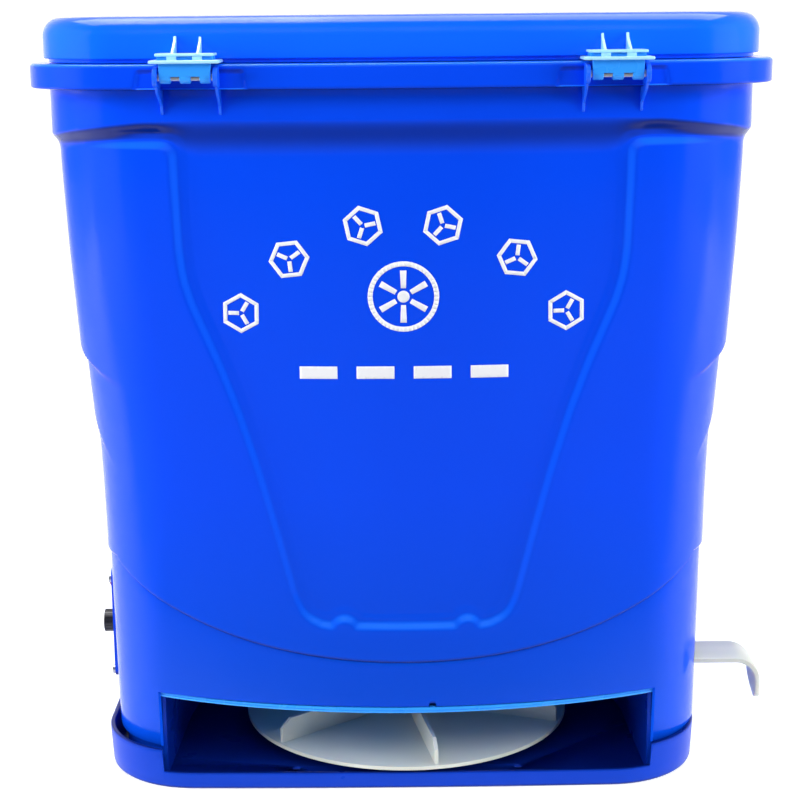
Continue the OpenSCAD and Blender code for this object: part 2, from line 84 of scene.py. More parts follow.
# Main lines of the mouldings
WALL = 2.6
SKIRT_HALF = RIM_HALF - 26.0
FLANGE_Z = RIM_Z - 12.4
COLLAR_Z = RIM_Z - 37.2
SWING_Z = COLLAR_Z - 10.4
MOUTH_HALF = 136.5
MOUTH_Z = COVER_HIGH[2] + 0.6
TRAY_T = 2.5
TRAY_RIM = 22.0
TRAY_LIP = 9.5
# Hinges: place across, ears beside that place, radius of the ears and of the knuckles
HINGE_X = 103.0
EAR_AT = 14.4
EAR_R = 4.6
BARREL_R = 3.0
LID_FRONT = HINGE_Y + 7.5
LID_BOW = 790.0
OUTLET_R = 12.0

# Core surface of the tub by height: half width, front line, rear line
CORE_Z = [0, 26, 154, 188, 233, 255, 298, 340, RIM_Z]
CORE_HALF = SKIRT_HALF + np.array([1.5, 1.5, 1.7, 2.4, 5.4, 6.6, 9.0, 10.5, 10.9])
CORE_FRONT = [-128.0, -128.5, -131.9, -133.2, -135.6, -136.8, -138.9, -141.0, -142.0]
CORE_REAR = [114.0, 114.0, 116.2, 117.0, 118.6, 119.2, 120.8, 121.6, 122.0]
REAR_R = 38.0

# Plans of the collar and the flange: half width, front line, rear line
COLLAR = (RIM_HALF - 7.7, -144.6, 124.5)
FLANGE = (RIM_HALF, -156.0, 134.0)


def corner_radius(z):
    """Radius of the tub's front corners, which open out a little towards the rim."""
    return 50.0 + 6.0 * z / RIM_Z


def bow_radius(z):
    """Radius of the tub's bowed front, which gets flatter towards the rim."""
    return 337.0 + 463.0 * z / RIM_Z


def bow_front(x, front, bow):
    """Front line at x of a plan with that front and bow."""
    return front + bow - math.sqrt(bow * bow - x * x)


def smooth(t):
    """Eased step from 0 to 1 as t goes from 0 to 1."""
    t = np.clip(t, 0.0, 1.0)
    return t * t * (3 - 2 * t)


def soft_interp(z, xs, ys, blur=9.0):
    """A line through stations with its corners rounded over blur millimetres."""
    return sum(np.interp(z + k * blur, xs, ys) * w for k, w in ((-1, 0.25), (0, 0.5), (1, 0.25)))


# ---- Outlines ----


class Columns:
    """Columns round a plan outline, anticlockwise from the left end of the front: a kind and a place each."""

    def __init__(self, front_half, front, corner, side, rear_corner, rear):
        """front holds places from -1 to 1 over front_half; the other values are counts of columns."""

        def run(kind, count):
            return [(kind, t) for t in np.linspace(0, 1, count + 1)[1:]]

        steps = [("front", x) for x in np.array(front) * front_half]
        steps += run("corner_r", corner) + run("side_r", side) + run("rear_r", rear_corner)
        steps += run("rear", rear)
        steps += run("rear_l", rear_corner) + run("side_l", side) + run("corner_l", corner)[:-1]
        self.kind = np.array([kind for kind, _ in steps])
        self.at = np.array([at for _, at in steps])
        self.front_half = front_half
        self.n = len(steps)

    def place(self, half, front, rear, corner, bow, rear_r):
        """x, y and the outward normal of every column.

        The plan is given by its half width, front and rear line, and the radii of the front corners, the
        bowed front and the rear corners. Each is a number or one number per column.
        """
        shape = self.at.shape
        plan = (half, front, rear, corner, bow, rear_r)
        half, front, rear, corner, bow, rear_r = (np.broadcast_to(np.asarray(v, float), shape) for v in plan)
        # The bow runs into a corner where both arcs have the same direction
        sin_meet = (half - corner) / (bow - corner)
        centre_x = half - corner
        centre_y = front + bow - (bow - corner) * np.sqrt(1 - sin_meet**2)
        x, y, nx, ny = (np.zeros(shape) for _ in range(4))

        def put(where, *values):
            for target, value in zip((x, y, nx, ny), values):
                target[where] = np.broadcast_to(value, shape)[where]

        for name, sign in (("_r", 1), ("_l", -1)):
            run, rest = (self.at, 1 - self.at) if sign > 0 else (1 - self.at, self.at)
            is_corner = self.kind == "corner" + name
            angle = -np.arccos(np.clip((self.front_half - centre_x) / corner, -1, 1)) * rest
            cos, sin = np.cos(angle), np.sin(angle)
            reach = centre_x + corner * cos
            put(is_corner, sign * reach, centre_y + corner * sin, sign * cos, sin)
            # Where the corner columns start before the corner does, they stay on the bowed front
            early = is_corner & (angle < np.arcsin(sin_meet) - math.pi / 2)
            early_y = front + bow - np.sqrt(bow**2 - reach**2)
            put(early, sign * reach, early_y, sign * reach / bow, -np.sqrt(1 - (reach / bow) ** 2))
            side_y = centre_y + (rear - rear_r - centre_y) * run
            put(self.kind == "side" + name, sign * half, side_y, sign, 0.0)
            cos, sin = np.cos(math.pi / 2 * run), np.sin(math.pi / 2 * run)
            rear_x, rear_y = half - rear_r + rear_r * cos, rear - rear_r + rear_r * sin
            put(self.kind == "rear" + name, sign * rear_x, rear_y, sign * cos, sin)
        put(self.kind == "rear", (half - rear_r) * (1 - 2 * self.at), rear, 0.0, 1.0)
        is_front = self.kind == "front"
        across = np.where(is_front, self.at, 0.0)
        on_bow = np.abs(across) <= bow * sin_meet
        past = np.clip(np.abs(across) - centre_x, -corner, corner)
        root = np.where(on_bow, np.sqrt(bow**2 - across**2), np.sqrt(np.maximum(corner**2 - past**2, 0)))
        normal_x = np.where(on_bow, across / bow, np.sign(across) * past / corner)
        front_y = np.where(on_bow, front + bow, centre_y) - root
        put(is_front, across, front_y, normal_x, -np.sqrt(1 - normal_x**2))
        return x, y, nx, ny

    def ring(self, plan, inset, z):
        """Points of a ring at height z, inset from a plan that is given as the values of place()."""
        x, y, nx, ny = self.place(*plan)
        return np.column_stack([x - nx * inset, y - ny * inset, np.full(self.n, z)])


def even(half, step, marks=()):
    """Places from -1 to 1 about step apart, with extra ones at the marks, for a front of that half width."""
    count = max(2, round(2 * half / step))
    base = np.linspace(-1, 1, count + 1)
    extra = [m / half for m in marks]
    keep = [b for b in base if all(abs(b - m) > 0.35 * step / half for m in extra)]
    return np.array(sorted(keep + extra))


# ---- Meshes ----


def make_object(name, verts, faces, smooth_deg=32.0):
    """A mesh object from millimetre points, shaded smooth where faces meet at less than smooth_deg."""
    mesh = bpy.data.meshes.new(name)
    mesh.from_pydata((np.asarray(verts, float) * MM).tolist(), [], faces)
    mesh.validate()
    mesh.polygons.foreach_set("use_smooth", [True] * len(mesh.polygons))
    mesh.set_sharp_from_angle(angle=math.radians(smooth_deg))
    mesh.update()
    obj = bpy.data.objects.new(name, mesh)
    bpy.context.scene.collection.objects.link(obj)
    return obj


def ring_faces(rings, n, closed=True, skip=None):
    """Quads between rings of n points; closed joins the last ring to the first. skip(i, j) drops a cell."""
    faces = []
    last = rings if closed else rings - 1
    for i in range(last):
        a, b = i * n, (i + 1) % rings * n
        for j in range(n):
            if skip is not None and skip(i, j):
                continue
            k = (j + 1) % n
            faces.append((a + j, a + k, b + k, b + j))
    return faces


def end_caps(rings, n):
    """Faces that fill the first and the last of some rings of n points."""
    return [tuple(reversed(range(n))), tuple(range((rings - 1) * n, rings * n))]


def stack(name, rows, smooth_deg=38.0):
    """A closed body from rings of points, each with the same number of points."""
    n = len(rows[0])
    faces = ring_faces(len(rows), n, False) + end_caps(len(rows), n)
    return make_object(name, np.concatenate(rows), faces, smooth_deg)


def join(name, parts):
    """One object from several, keeping the first one's place."""
    bpy.ops.object.select_all(action="DESELECT")
    for p in parts:
        p.select_set(True)
    bpy.context.view_layer.objects.active = parts[0]
    bpy.ops.object.join()
    parts[0].name = name
    parts[0].data.name = name
    return parts[0]


def modify(obj, kind, **values):
    """Adds a modifier with those settings."""
    mod = obj.modifiers.new(kind.lower(), kind)
    for key, value in values.items():
        setattr(mod, key, value)


def bevel(obj, width, segments, angle=35.0):
    """Rounds the edges of obj that are sharper than angle."""
    modify(obj, "BEVEL", width=width * MM, segments=segments, limit_method="ANGLE",
           angle_limit=math.radians(angle), harden_normals=True)


def flatten(obj):
    """Applies obj's modifiers."""
    graph = bpy.context.evaluated_depsgraph_get()
    mesh = bpy.data.meshes.new_from_object(obj.evaluated_get(graph), depsgraph=graph)
    obj.modifiers.clear()
    obj.data = mesh
    return obj


def eased(obj, width, segments=2):
    """obj with its edges rounded for good."""
    bevel(obj, width, segments)
    return flatten(obj)


def cut(obj, *cutters):
    """Takes the cutters out of obj for good and removes them."""
    for cutter in cutters:
        modify(obj, "BOOLEAN", operation="DIFFERENCE", object=cutter, solver="EXACT")
    flatten(obj)
    for cutter in cutters:
        bpy.data.objects.remove(cutter)
    return obj


def fix_normals(obj):
    """Turns all faces of obj outwards."""
    bm = bmesh.new()
    bm.from_mesh(obj.data)
    bmesh.ops.recalc_face_normals(bm, faces=bm.faces)
    bm.to_mesh(obj.data)
    bm.free()
    return obj


def prism(name, points, low, high, axis="z", smooth_deg=32.0):
    """A closed prism of a flat outline. axis x takes (y, z) points, y takes (x, z) and z takes (x, y)."""
    put = {"x": lambda p, h: (h, *p), "y": lambda p, h: (p[0], h, p[1]), "z": lambda p, h: (*p, h)}[axis]
    return fix_normals(stack(name, [[put(p, h) for p in points] for h in (low, high)], smooth_deg))


def block(name, low, high):
    """A box between two corners."""
    (x0, y0, z0), (x1, y1, z1) = low, high
    return prism(name, [(x0, y0), (x1, y0), (x1, y1), (x0, y1)], z0, z1)


def circle(cx, cy, r, n=48, start=0.0, end=360.0):
    """Points round a circle or along an arc of it, in degrees."""
    whole = abs(end - start) >= 360
    angles = np.radians(np.linspace(start, end, n, endpoint=not whole))
    return [(cx + r * math.cos(a), cy + r * math.sin(a)) for a in angles]


def lathe(name, profile, centre, n=96, axis="z", closed=False):
    """Turns (radius, height) points round an axis through centre."""
    verts = []
    for r, h in profile:
        for a in np.linspace(0, 2 * math.pi, n, endpoint=False):
            u, v = r * math.cos(a), r * math.sin(a)
            p = (u, v, h) if axis == "z" else (h, u, v)
            verts.append([c + q for c, q in zip(centre, p)])
    faces = ring_faces(len(profile), n, closed) + ([] if closed else end_caps(len(profile), n))
    return fix_normals(make_object(name, verts, faces))


def hole(name, r, low, high, centre, n=32, axis="z"):
    """A round cutter from low to high along an axis through centre."""
    return lathe(name, [(r, low), (r, high)], centre, n, axis)


# ---- Materials ----


def map_range(tree, value, low, high, from_low, from_high, kind="LINEAR"):
    """A node that turns from_low..from_high into low..high."""
    ramp = tree.nodes.new("ShaderNodeMapRange")
    ramp.interpolation_type = kind
    tree.links.new(value, ramp.inputs["Value"])
    for key, size in zip(("From Min", "From Max", "To Min", "To Max"), (from_low, from_high, low, high)):
        ramp.inputs[key].default_value = size
    return ramp.outputs["Result"]


class Nodes:
    """A short hand for building one Principled material."""

    def __init__(self, name, colour, roughness, **sockets):
        self.mat = bpy.data.materials.new(name)
        self.mat.use_nodes = True
        self.tree = self.mat.node_tree
        self.bsdf = self.tree.nodes["Principled BSDF"]
        self.bsdf.inputs["Base Color"].default_value = (*colour, 1)
        self.bsdf.inputs["Roughness"].default_value = roughness
        for key, value in sockets.items():
            self.bsdf.inputs[key.replace("_", " ")].default_value = value
        self.coords = self.tree.nodes.new("ShaderNodeTexCoord").outputs
        self.coord = self.coords["Object"]

    def node(self, kind, **values):
        n = self.tree.nodes.new(kind)
        for key, value in values.items():
            setattr(n, key, value)
        return n

    def link(self, a, b):
        self.tree.links.new(a, b)

    def noise(self, scale, detail=4.0, stretch=(1, 1, 1)):
        """Noise with scale in features per metre."""
        mapping = self.node("ShaderNodeMapping")
        mapping.inputs["Scale"].default_value = stretch
        self.link(self.coord, mapping.inputs["Vector"])
        n = self.node("ShaderNodeTexNoise")
        n.inputs["Scale"].default_value = scale
        n.inputs["Detail"].default_value = detail
        self.link(mapping.outputs["Vector"], n.inputs["Vector"])
        return n.outputs["Fac"]

    def remap(self, fac, low, high, from_low=0.3, from_high=0.7):
        return map_range(self.tree, fac, low, high, from_low, from_high)

    def colours(self, fac, a, b):
        """A mix of two colours; the first may come from another node."""
        mix = self.node("ShaderNodeMix", data_type="RGBA")
        self.link(fac, mix.inputs[0])
        first, second = (i for i in mix.inputs if i.type == "RGBA")
        if isinstance(a, tuple):
            first.default_value = (*a, 1)
        else:
            self.link(a, first)
        second.default_value = (*b, 1)
        return next(o for o in mix.outputs if o.type == "RGBA")

    def bump(self, height, strength, distance):
        b = self.node("ShaderNodeBump")
        b.inputs["Strength"].default_value = strength
        b.inputs["Distance"].default_value = distance
        self.link(height, b.inputs["Height"])
        self.link(b.outputs["Normal"], self.bsdf.inputs["Normal"])

    def add(self, a, b, weight):
        m = self.node("ShaderNodeMath", operation="MULTIPLY_ADD")
        self.link(b, m.inputs[0])
        m.inputs[1].default_value = weight
        self.link(a, m.inputs[2])
        return m.outputs["Value"]


def moulded_plastic(name, colour, deep, roughness, orange_peel=0.00004, scuff=0.04, painted_shading_colours=None, **sockets):
    """Injection-moulded plastic: clouds in the colour, a faint ripple, and fine rubbed marks in the gloss.

    The four optional colours paint light and shade into the colour: painted shade on faces that look down, a
    painted tone on steps that look in towards the middle, painted shade low on the object, and a painted tone on
    faces that look up.
    """
    m = Nodes(name, colour, roughness, **sockets)
    flow = m.noise(7.0, 3.0, (1, 1, 0.45))
    body = m.colours(m.remap(flow, 0.0, 1.0, 0.35, 0.68), colour, deep)
    if painted_shading_colours:
        # Painted light and shade, chosen by which way a face looks and by height, standing in for how the studio
        # light falls
        under, painted_step_tone, low, upper = painted_shading_colours
        place = m.node("ShaderNodeSeparateXYZ")
        m.link(m.coord, place.inputs["Vector"])
        turn = m.node("ShaderNodeSeparateXYZ")
        m.link(m.coords["Normal"], turn.inputs["Vector"])
        lean = m.node("ShaderNodeMath", operation="MULTIPLY")
        m.link(place.outputs["X"], lean.inputs[0])
        m.link(turn.outputs["X"], lean.inputs[1])
        # Painted shade low on the object
        body = m.colours(m.remap(place.outputs["Z"], 1.0, 0.0, 0.06, 0.17), body, low)
        # Painted tone on steps that look in towards the middle; in the body blue it is a painted highlight on the
        # shield's chamfers
        body = m.colours(m.remap(lean.outputs["Value"], 1.0, 0.0, -0.046, -0.010), body, painted_step_tone)
        # Painted shade on faces that look down
        body = m.colours(m.remap(turn.outputs["Z"], 1.0, 0.0, -0.62, -0.10), body, under)
        # Painted tone on faces that look up; in the body blue it is painted light from above
        body = m.colours(m.remap(turn.outputs["Z"], 0.0, 1.0, 0.15, 0.75), body, upper)
    m.link(body, m.bsdf.inputs["Base Color"])
    rub = m.noise(420.0, 2.0, (1, 1, 0.3))
    cloud = m.noise(24.0, 4.0)
    polish = m.remap(cloud, roughness - scuff, roughness + scuff)
    gloss = m.add(polish, m.remap(rub, 0.0, 1.0, 0.6, 0.8), 0.015)
    m.link(gloss, m.bsdf.inputs["Roughness"])
    ripple = m.noise(38.0, 2.0)
    grain = m.noise(900.0, 2.0)
    m.bump(m.add(ripple, grain, 0.08), 0.35, orange_peel)
    return m.mat


def metal(name, colour, roughness):
    """Plain metal with fine lines and clouds in its polish."""
    m = Nodes(name, colour, roughness, Metallic=1.0)
    lines = m.noise(300.0, 3.0, (1, 1, 30))
    m.link(m.remap(lines, roughness - 0.08, roughness + 0.1), m.bsdf.inputs["Roughness"])
    cloud = m.noise(60.0, 3.0)
    dull = tuple(0.8 * c for c in colour)
    m.link(m.colours(cloud, colour, dull), m.bsdf.inputs["Base Color"])
    m.bump(lines, 0.2, 0.00003)
    return m.mat


def soft_rubber(name, colour):
    """Matt rubber with a fine grain."""
    m = Nodes(name, colour, 0.75)
    grain = m.noise(1500.0, 3.0)
    m.link(m.remap(m.noise(90.0), 0.62, 0.85), m.bsdf.inputs["Roughness"])
    m.link(m.colours(grain, colour, tuple(c * 1.8 for c in colour)), m.bsdf.inputs["Base Color"])
    m.bump(grain, 0.3, 0.00006)
    return m.mat


# Body blue; its four extra colours are painted shade on faces that look down, a painted highlight on steps that
# look in towards the middle, painted shade low on the tub and painted light on faces that look up
BLUE = moulded_plastic(
    "blue_pp", (0.0010, 0.066, 0.86), (0.0008, 0.060, 0.82), 0.15, Specular_IOR_Level=0.16,
    painted_shading_colours=((0.0006, 0.016, 0.20), (0.004, 0.118, 1.0), (0.0012, 0.064, 0.62), (0.010, 0.185, 1.0)))
# A lighter copy of the body blue for the cover and the hinge leaves: light on and through these thin parts is
# painted into the colour
BLUE_THIN_LIT = moulded_plastic("blue_pp_thin_lit", (0.03, 0.34, 1.0), (0.025, 0.31, 0.98), 0.28)
# A much lighter copy of the body blue for the hinge caps: the top light on the caps is painted into the colour
BLUE_CAP_LIT = moulded_plastic("blue_pp_cap_lit", (0.42, 0.80, 1.0), (0.38, 0.76, 0.98), 0.28)
# A lighter copy of the body blue for the hinge ears: the light on the ears is painted into the colour
BLUE_EAR_LIT = moulded_plastic("blue_pp_ear_lit", (0.008, 0.135, 1.0), (0.006, 0.120, 0.96), 0.24)
# The tray's blue is a darker copy of the body blue with painted shade, and its four extra colours are painted
# shade as well
BLUE_TRAY_SHADED = moulded_plastic(
    "blue_pp_tray_shaded", (0.0010, 0.042, 0.48), (0.0008, 0.038, 0.45), 0.30, Specular_IOR_Level=0.14,
    painted_shading_colours=((0.0008, 0.020, 0.20), (0.0008, 0.026, 0.34), (0.0010, 0.042, 0.46), (0.0006, 0.012, 0.16)))
# A lighter copy of the body blue for the lid: the strong light from above on the lid is painted into the colour
LID_BLUE_LIT = moulded_plastic(
    "blue_pp_lid_lit", (0.0015, 0.135, 1.0), (0.0012, 0.125, 0.98), 0.13, Specular_IOR_Level=0.32)
WHITE = moulded_plastic(
    "white_pp", (0.62, 0.64, 0.56), (0.58, 0.60, 0.53), 0.38, orange_peel=0.00005,
    Subsurface_Weight=0.12, Subsurface_Scale=0.004)
BLACK = moulded_plastic("black_plastic", (0.012, 0.012, 0.013), (0.02, 0.02, 0.021), 0.36)
RED = moulded_plastic("red_plastic", (0.50, 0.015, 0.012), (0.42, 0.010, 0.010), 0.25)
STEEL = metal("steel", (0.60, 0.61, 0.63), 0.32)
COPPER = metal("copper", (0.65, 0.30, 0.15), 0.35)
RUBBER = soft_rubber("rubber", (0.018, 0.018, 0.019))
SLEEVE = moulded_plastic("battery_wrap", (0.010, 0.160, 0.080), (0.008, 0.130, 0.065), 0.30)
BOARD = moulded_plastic("board", (0.012, 0.190, 0.070), (0.010, 0.150, 0.055), 0.40)
PRINT = moulded_plastic("white_print", (0.86, 0.87, 0.90), (0.83, 0.84, 0.88), 0.42)


def paint(obj, material):
    """Gives obj one material."""
    obj.data.materials.clear()
    obj.data.materials.append(material)


def finish_piece(obj, body, slot, material, *replaced):
    """Paints a piece and says which body it rides and the CAD nodes that it replaces; slot is not used."""
    paint(obj, material)
    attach(obj, body)
    if replaced:
        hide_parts(*replaced)


# ---- Tub ----

# Half width of the recessed shield on the front by height
SHIELD_Z = [96.5, 97, 99.5, 105, 114, 128, 154, 184, 214, 239, 257, 270, 283, 296, 330, 372]
SHIELD_X = [40, 45, 51, 56.5, 60.5, 64, 70.5, 78.5, 87.5, 96.5, 104, 109.5, 113.3, 115, 116, 116.5]
SHIELD_DEPTH = 3.0
CHAMFER = 4.4
# Two round bumps on the shield's lower edge
BUMP_X = 32.5
BUMP_Z = 96.0
BUMP_R = 4.6
LEDGE_Z = COLLAR_Z - 2.6
# Leaves on the side walls: height at their front end, slope, depth, and how far forward they start
SIDE_LEAVES = ((224.0, 0.55, 2.9, 11.0), (175.0, 1.05, 1.3, 6.0))
# The long curved step over the skirt
ARC_DEPTH = 1.7
ARC_SIDE_Z = 127.0
# Half width at which the front corners turn past 45 degrees
TURN_HALF = 156.0
# Openings cut in the tub: the gate's slot, the window behind the panel, and a notch over the mouth
SLOT_Z = (53.9, 58.1)
WINDOW_Z = (48, 102)
NOTCH_X = (12.0, 15.4)
# Rings below the top of the mouth: the wall steps in where it goes down into the tray
LOW_Z = [TRAY_T + 0.2, 10.0, 16.0, 18.0, 19.0, 20.0, 21.0, 25.0, 38.0, 46.0, MOUTH_Z - 1.0, MOUTH_Z]
LOW_OUTSET = np.interp(LOW_Z, [0, 18.0, 20.0, 21.0], [-4.8, -4.8, -1.7, -1.5])
SKIRT_OUTSET = -1.4


def arc_height(x_ref, along):
    """Height of the long curved step over the skirt, by place across the front and then along the side."""
    front = 78.0 + 0.00123 * x_ref**2 + 2.85e-8 * x_ref**4
    side = ARC_SIDE_Z + 16.0 * smooth((along - 20.0) / 110.0)
    return np.where(along > 0, side, np.minimum(front, ARC_SIDE_Z))


def polygon_distance(px, pz, poly):
    """Distance from each point to a closed outline, positive inside."""
    a, b = np.array(poly), np.roll(np.array(poly), -1, axis=0)
    best = np.full(px.shape, 1e9)
    inside = np.zeros(px.shape, bool)
    for (ax, az), (bx, bz) in zip(a, b):
        ex, ez = bx - ax, bz - az
        t = np.clip(((px - ax) * ex + (pz - az) * ez) / max(ex * ex + ez * ez, 1e-9), 0, 1)
        best = np.minimum(best, np.hypot(px - ax - t * ex, pz - az - t * ez))
        if az != bz:
            cross = (az > pz) != (bz > pz)
            inside ^= cross & (px < ax + (pz - az) * ex / ez)
    return np.where(inside, best, -best)


def shield_outline():
    """Closed (x, z) outline of the shield."""
    z = np.concatenate([np.linspace(96.5, 118, 24), np.linspace(122, 372, 48)])
    x = soft_interp(z, SHIELD_Z, SHIELD_X, 2.5)
    x[0] = SHIELD_X[0]
    return [(v, h) for v, h in zip(x, z)] + [(-v, h) for v, h in zip(x[::-1], z[::-1])]


def recess_depth(inside):
    """How deep a recess is at a distance inside its edge: a flat chamfer with eased ends."""
    t = np.clip(inside / CHAMFER, 0, 1)
    step = smooth((inside - CHAMFER - 2.2) / 1.6)
    return SHIELD_DEPTH * (0.5 * t + 0.33 * smooth(t) + 0.17 * step)


def tub_relief(x, z, y, along):
    """Outward relief of the body over its core surface, below the collar."""
    front = y < -40
    shield = np.full(x.shape, -50.0)
    inside = polygon_distance(x[front], z[front], shield_outline())
    for side in (-1, 1):
        inside = np.minimum(inside, np.hypot(x[front] - side * BUMP_X, z[front] - BUMP_Z) - BUMP_R)
    shield[front] = inside
    ledge = z - (LEDGE_Z - CHAMFER / 2)
    # The shield and the ledge under the collar run into each other over a soft fillet
    fillet = 7.0
    share = np.clip(0.5 + 0.5 * (shield - ledge) / fillet, 0, 1)
    joined = ledge * (1 - share) + shield * share + fillet * share * (1 - share)
    relief = -recess_depth(joined) * (1 - 0.85 * smooth((along + 30) / 45) * (shield < 0))
    # Two overlapping side leaves whose lower edges fade out towards the front
    for start, slope, depth, at in SIDE_LEAVES:
        edge = start + slope * np.minimum(along + at, 70.0)
        fade = smooth((along + at) / 26.0)
        relief = relief + depth * fade * smooth((z - edge) / 2.6 + 0.5)
    return relief


def tub_place(cols, z, outset):
    """x and y of a ring of the tub's core surface at height z, moved outwards by outset."""
    half, front, rear = (soft_interp(z, CORE_Z, line) for line in (CORE_HALF, CORE_FRONT, CORE_REAR))
    x, y, nx, ny = cols.place(half, front, rear, corner_radius(z), bow_radius(z), REAR_R)
    return x + nx * outset, y + ny * outset


def tub_surface_y(x, z):
    """Front surface of the recessed shield at points given by x and z."""
    bow = bow_radius(z)
    return soft_interp(z, CORE_Z, CORE_FRONT) + bow - np.sqrt(bow**2 - x**2) + SHIELD_DEPTH


def rim_rows():
    """(share of the way from collar to flange, inset, height) up the collar, round the flange and inside."""
    edge = 2.0
    rows = [(0, 0.0, COLLAR_Z + 12), (0, 0, COLLAR_Z + 18), (0, 0, FLANGE_Z - 1.0), (0, -0.3, FLANGE_Z - 0.3),
            (0, -1.0, FLANGE_Z), (1, 1.1, FLANGE_Z), (1, 0.3, FLANGE_Z + 0.3), (1, 0.0, FLANGE_Z + 1.0)]
    rows += [(1, 0.0, z) for z in np.linspace(FLANGE_Z + 2.0, RIM_Z - edge, 9)]
    rows += [(1, edge * (1 - math.cos(a)), RIM_Z - edge + edge * math.sin(a))
             for a in np.radians(np.linspace(15, 90, 6))]
    rows += [(1, 8.0, RIM_Z), (0, 1.8, RIM_Z), (0, 2.4, RIM_Z - 0.3), (0, WALL, RIM_Z - 1.0),
             (0, WALL, COLLAR_Z + 20), (0, WALL + 0.4, COLLAR_Z + 10)]
    return rows


def hinge_pocket(x, y, z):
    """Depth of the shallow pocket in the flange round each hinge."""
    beside = np.abs(np.abs(x) - (HINGE_X - 1))
    half = 27.5 - 0.22 * (z - FLANGE_Z)
    return 1.1 * smooth((half - beside) / 2.0 + 0.5) * smooth((RIM_Z - 3.2 - z) / 1.2 + 0.5) * (y < 0)


class TubWall:
    """Rings of the tub: up the outside from the foot of the skirt, over the rim and down the inside."""

    def __init__(self):
        half = MOUTH_HALF + 0.01
        self.cols = Columns(half, even(half, 1.25), 30, 26, 12, 26)
        x, y, _, _ = self.cols.place(SKIRT_HALF + 2.0, -131.0, 116.0, 52.0, 470.0, REAR_R)
        self.across = np.abs(x)
        # Distance along the corner and the side, from the place where the corner turns past 45 degrees
        past_turn = y - y[np.argmin(np.abs(self.across - TURN_HALF))]
        along = np.where(self.across < TURN_HALF, self.across - TURN_HALF, past_turn)
        self.along = np.where(y > 60, 116.0 + np.maximum(0, y - 60), along)
        self.arc_z = arc_height(self.across, self.along)
        self.arc_fade = 1 - smooth((self.along - 90) / 60.0)
        self.rows = []

    def add(self, x, y, z):
        self.rows.append(np.column_stack([x, y, np.broadcast_to(z, x.shape)]))

    def add_core(self, z, outset):
        """A ring on the core surface, moved outwards by outset."""
        z = np.broadcast_to(z, self.along.shape)
        self.add(*tub_place(self.cols, z, outset), z)

    def relief(self, z):
        """Outward relief of a ring at height z."""
        x, y = tub_place(self.cols, z, 0.0)
        return tub_relief(x, z, y, self.along)

    def rim_place(self, share, inset, z):
        """x and y of a ring that lies that share of the way from the collar to the flange."""
        half, front, rear = (c + (f - c) * share for c, f in zip(COLLAR, FLANGE))
        x, y, nx, ny = self.cols.place(half, front, rear, corner_radius(z), bow_radius(z), REAR_R)
        return x - nx * inset, y - ny * inset

    def add_skirt(self):
        """Skirt with its lower edge, up to the long curved step."""
        for z, outset in zip(LOW_Z, LOW_OUTSET):
            self.add_core(z, outset)
        for share in (0.12, 0.3, 0.5, 0.7, 0.85, 0.95):
            self.add_core(MOUTH_Z + (self.arc_z - MOUTH_Z) * share, SKIRT_OUTSET - 0.1 * self.arc_fade)
        for below, depth in ((0.9, ARC_DEPTH - 1.4), (0.1, ARC_DEPTH - 1.3)):
            self.add_core(self.arc_z - below, SKIRT_OUTSET - depth * self.arc_fade)

    def add_body(self):
        """Body from the step to the collar, with the shield, the ledge and the side leaves."""
        foot = self.arc_z + 1.2
        heights = [self.arc_z + 0.1, self.arc_z + 0.5, foot]
        heights += list(foot + (SWING_Z - foot) * np.linspace(0, 1, 201)[1:, None])
        set_back = [-0.9, -0.35] + [0.0] * (len(heights) - 2)
        for z, start in zip(heights, set_back):
            lift = -1.3 * (1 - self.arc_fade) * smooth((self.arc_z + 30 - z) / 30)
            self.add_core(z, self.relief(z) + start * self.arc_fade + lift)

    def add_collar(self):
        """The wall swings out to the collar in one long curve, shorter round the sides."""
        side = smooth((self.along + 30) / 50.0)
        panel = smooth((self.across - 100.0) / 25.0) * (1 - side)
        low = COLLAR_Z - 10.0 + 9.0 * panel + 3.0 * side
        high = COLLAR_Z + 10.4 - 1.4 * panel - 8.4 * side
        for height in np.arange(COLLAR_Z - 9.6, COLLAR_Z + 11.0, 0.8):
            z = np.full(self.along.shape, height)
            share = smooth(np.clip((z - low) / (high - low), 0, 1) ** 1.4)
            x, y = tub_place(self.cols, z, self.relief(z))
            out_x, out_y = self.rim_place(0, 0.0, z)
            self.add(x + (out_x - x) * share, y + (out_y - y) * share, z)

    def add_rim(self):
        """Collar, flange with the hinge pockets, and the top of the inner side."""
        for share, inset, z in rim_rows():
            x, y = self.rim_place(share, inset, z)
            if share == 1 and inset < 0.3:
                x, y = self.rim_place(share, inset + hinge_pocket(x, y, z), z)
            self.add(x, y, z)

    def add_inside(self):
        """The inner side of the body and the skirt."""
        for height in [COLLAR_Z + 4, COLLAR_Z - 4, *np.linspace(COLLAR_Z - 12, MOUTH_Z + 10, 24)]:
            z = np.full(self.along.shape, float(height))
            relief = self.relief(z) if height < COLLAR_Z else -0.5
            self.add_core(z, relief - WALL - 0.6)
        for z, outset in zip(LOW_Z[::-1], LOW_OUTSET[::-1]):
            self.add_core(z, outset - WALL)

    def faces(self):
        """Quads between the rings, with the mouth left open and its edges closed."""
        rings, n, low = len(self.rows), self.cols.n, len(LOW_Z)
        front = np.flatnonzero(self.cols.kind == "front")
        left, right = int(front[0]), int(front[-1])

        def in_mouth(i, j):
            return left <= j < right and (i < low - 1 or i >= rings - low)

        faces = ring_faces(rings, n, True, in_mouth)
        top, top_in = (low - 1) * n, (rings - low) * n
        for j in range(left, right):
            faces.append((top_in + j, top_in + j + 1, top + j + 1, top + j))
        for i in range(low - 1):
            k = rings - 1 - i
            faces.append((i * n + left, (i + 1) * n + left, (k - 1) * n + left, k * n + left))
            faces.append((k * n + right, (k - 1) * n + right, (i + 1) * n + right, i * n + right))
        return faces


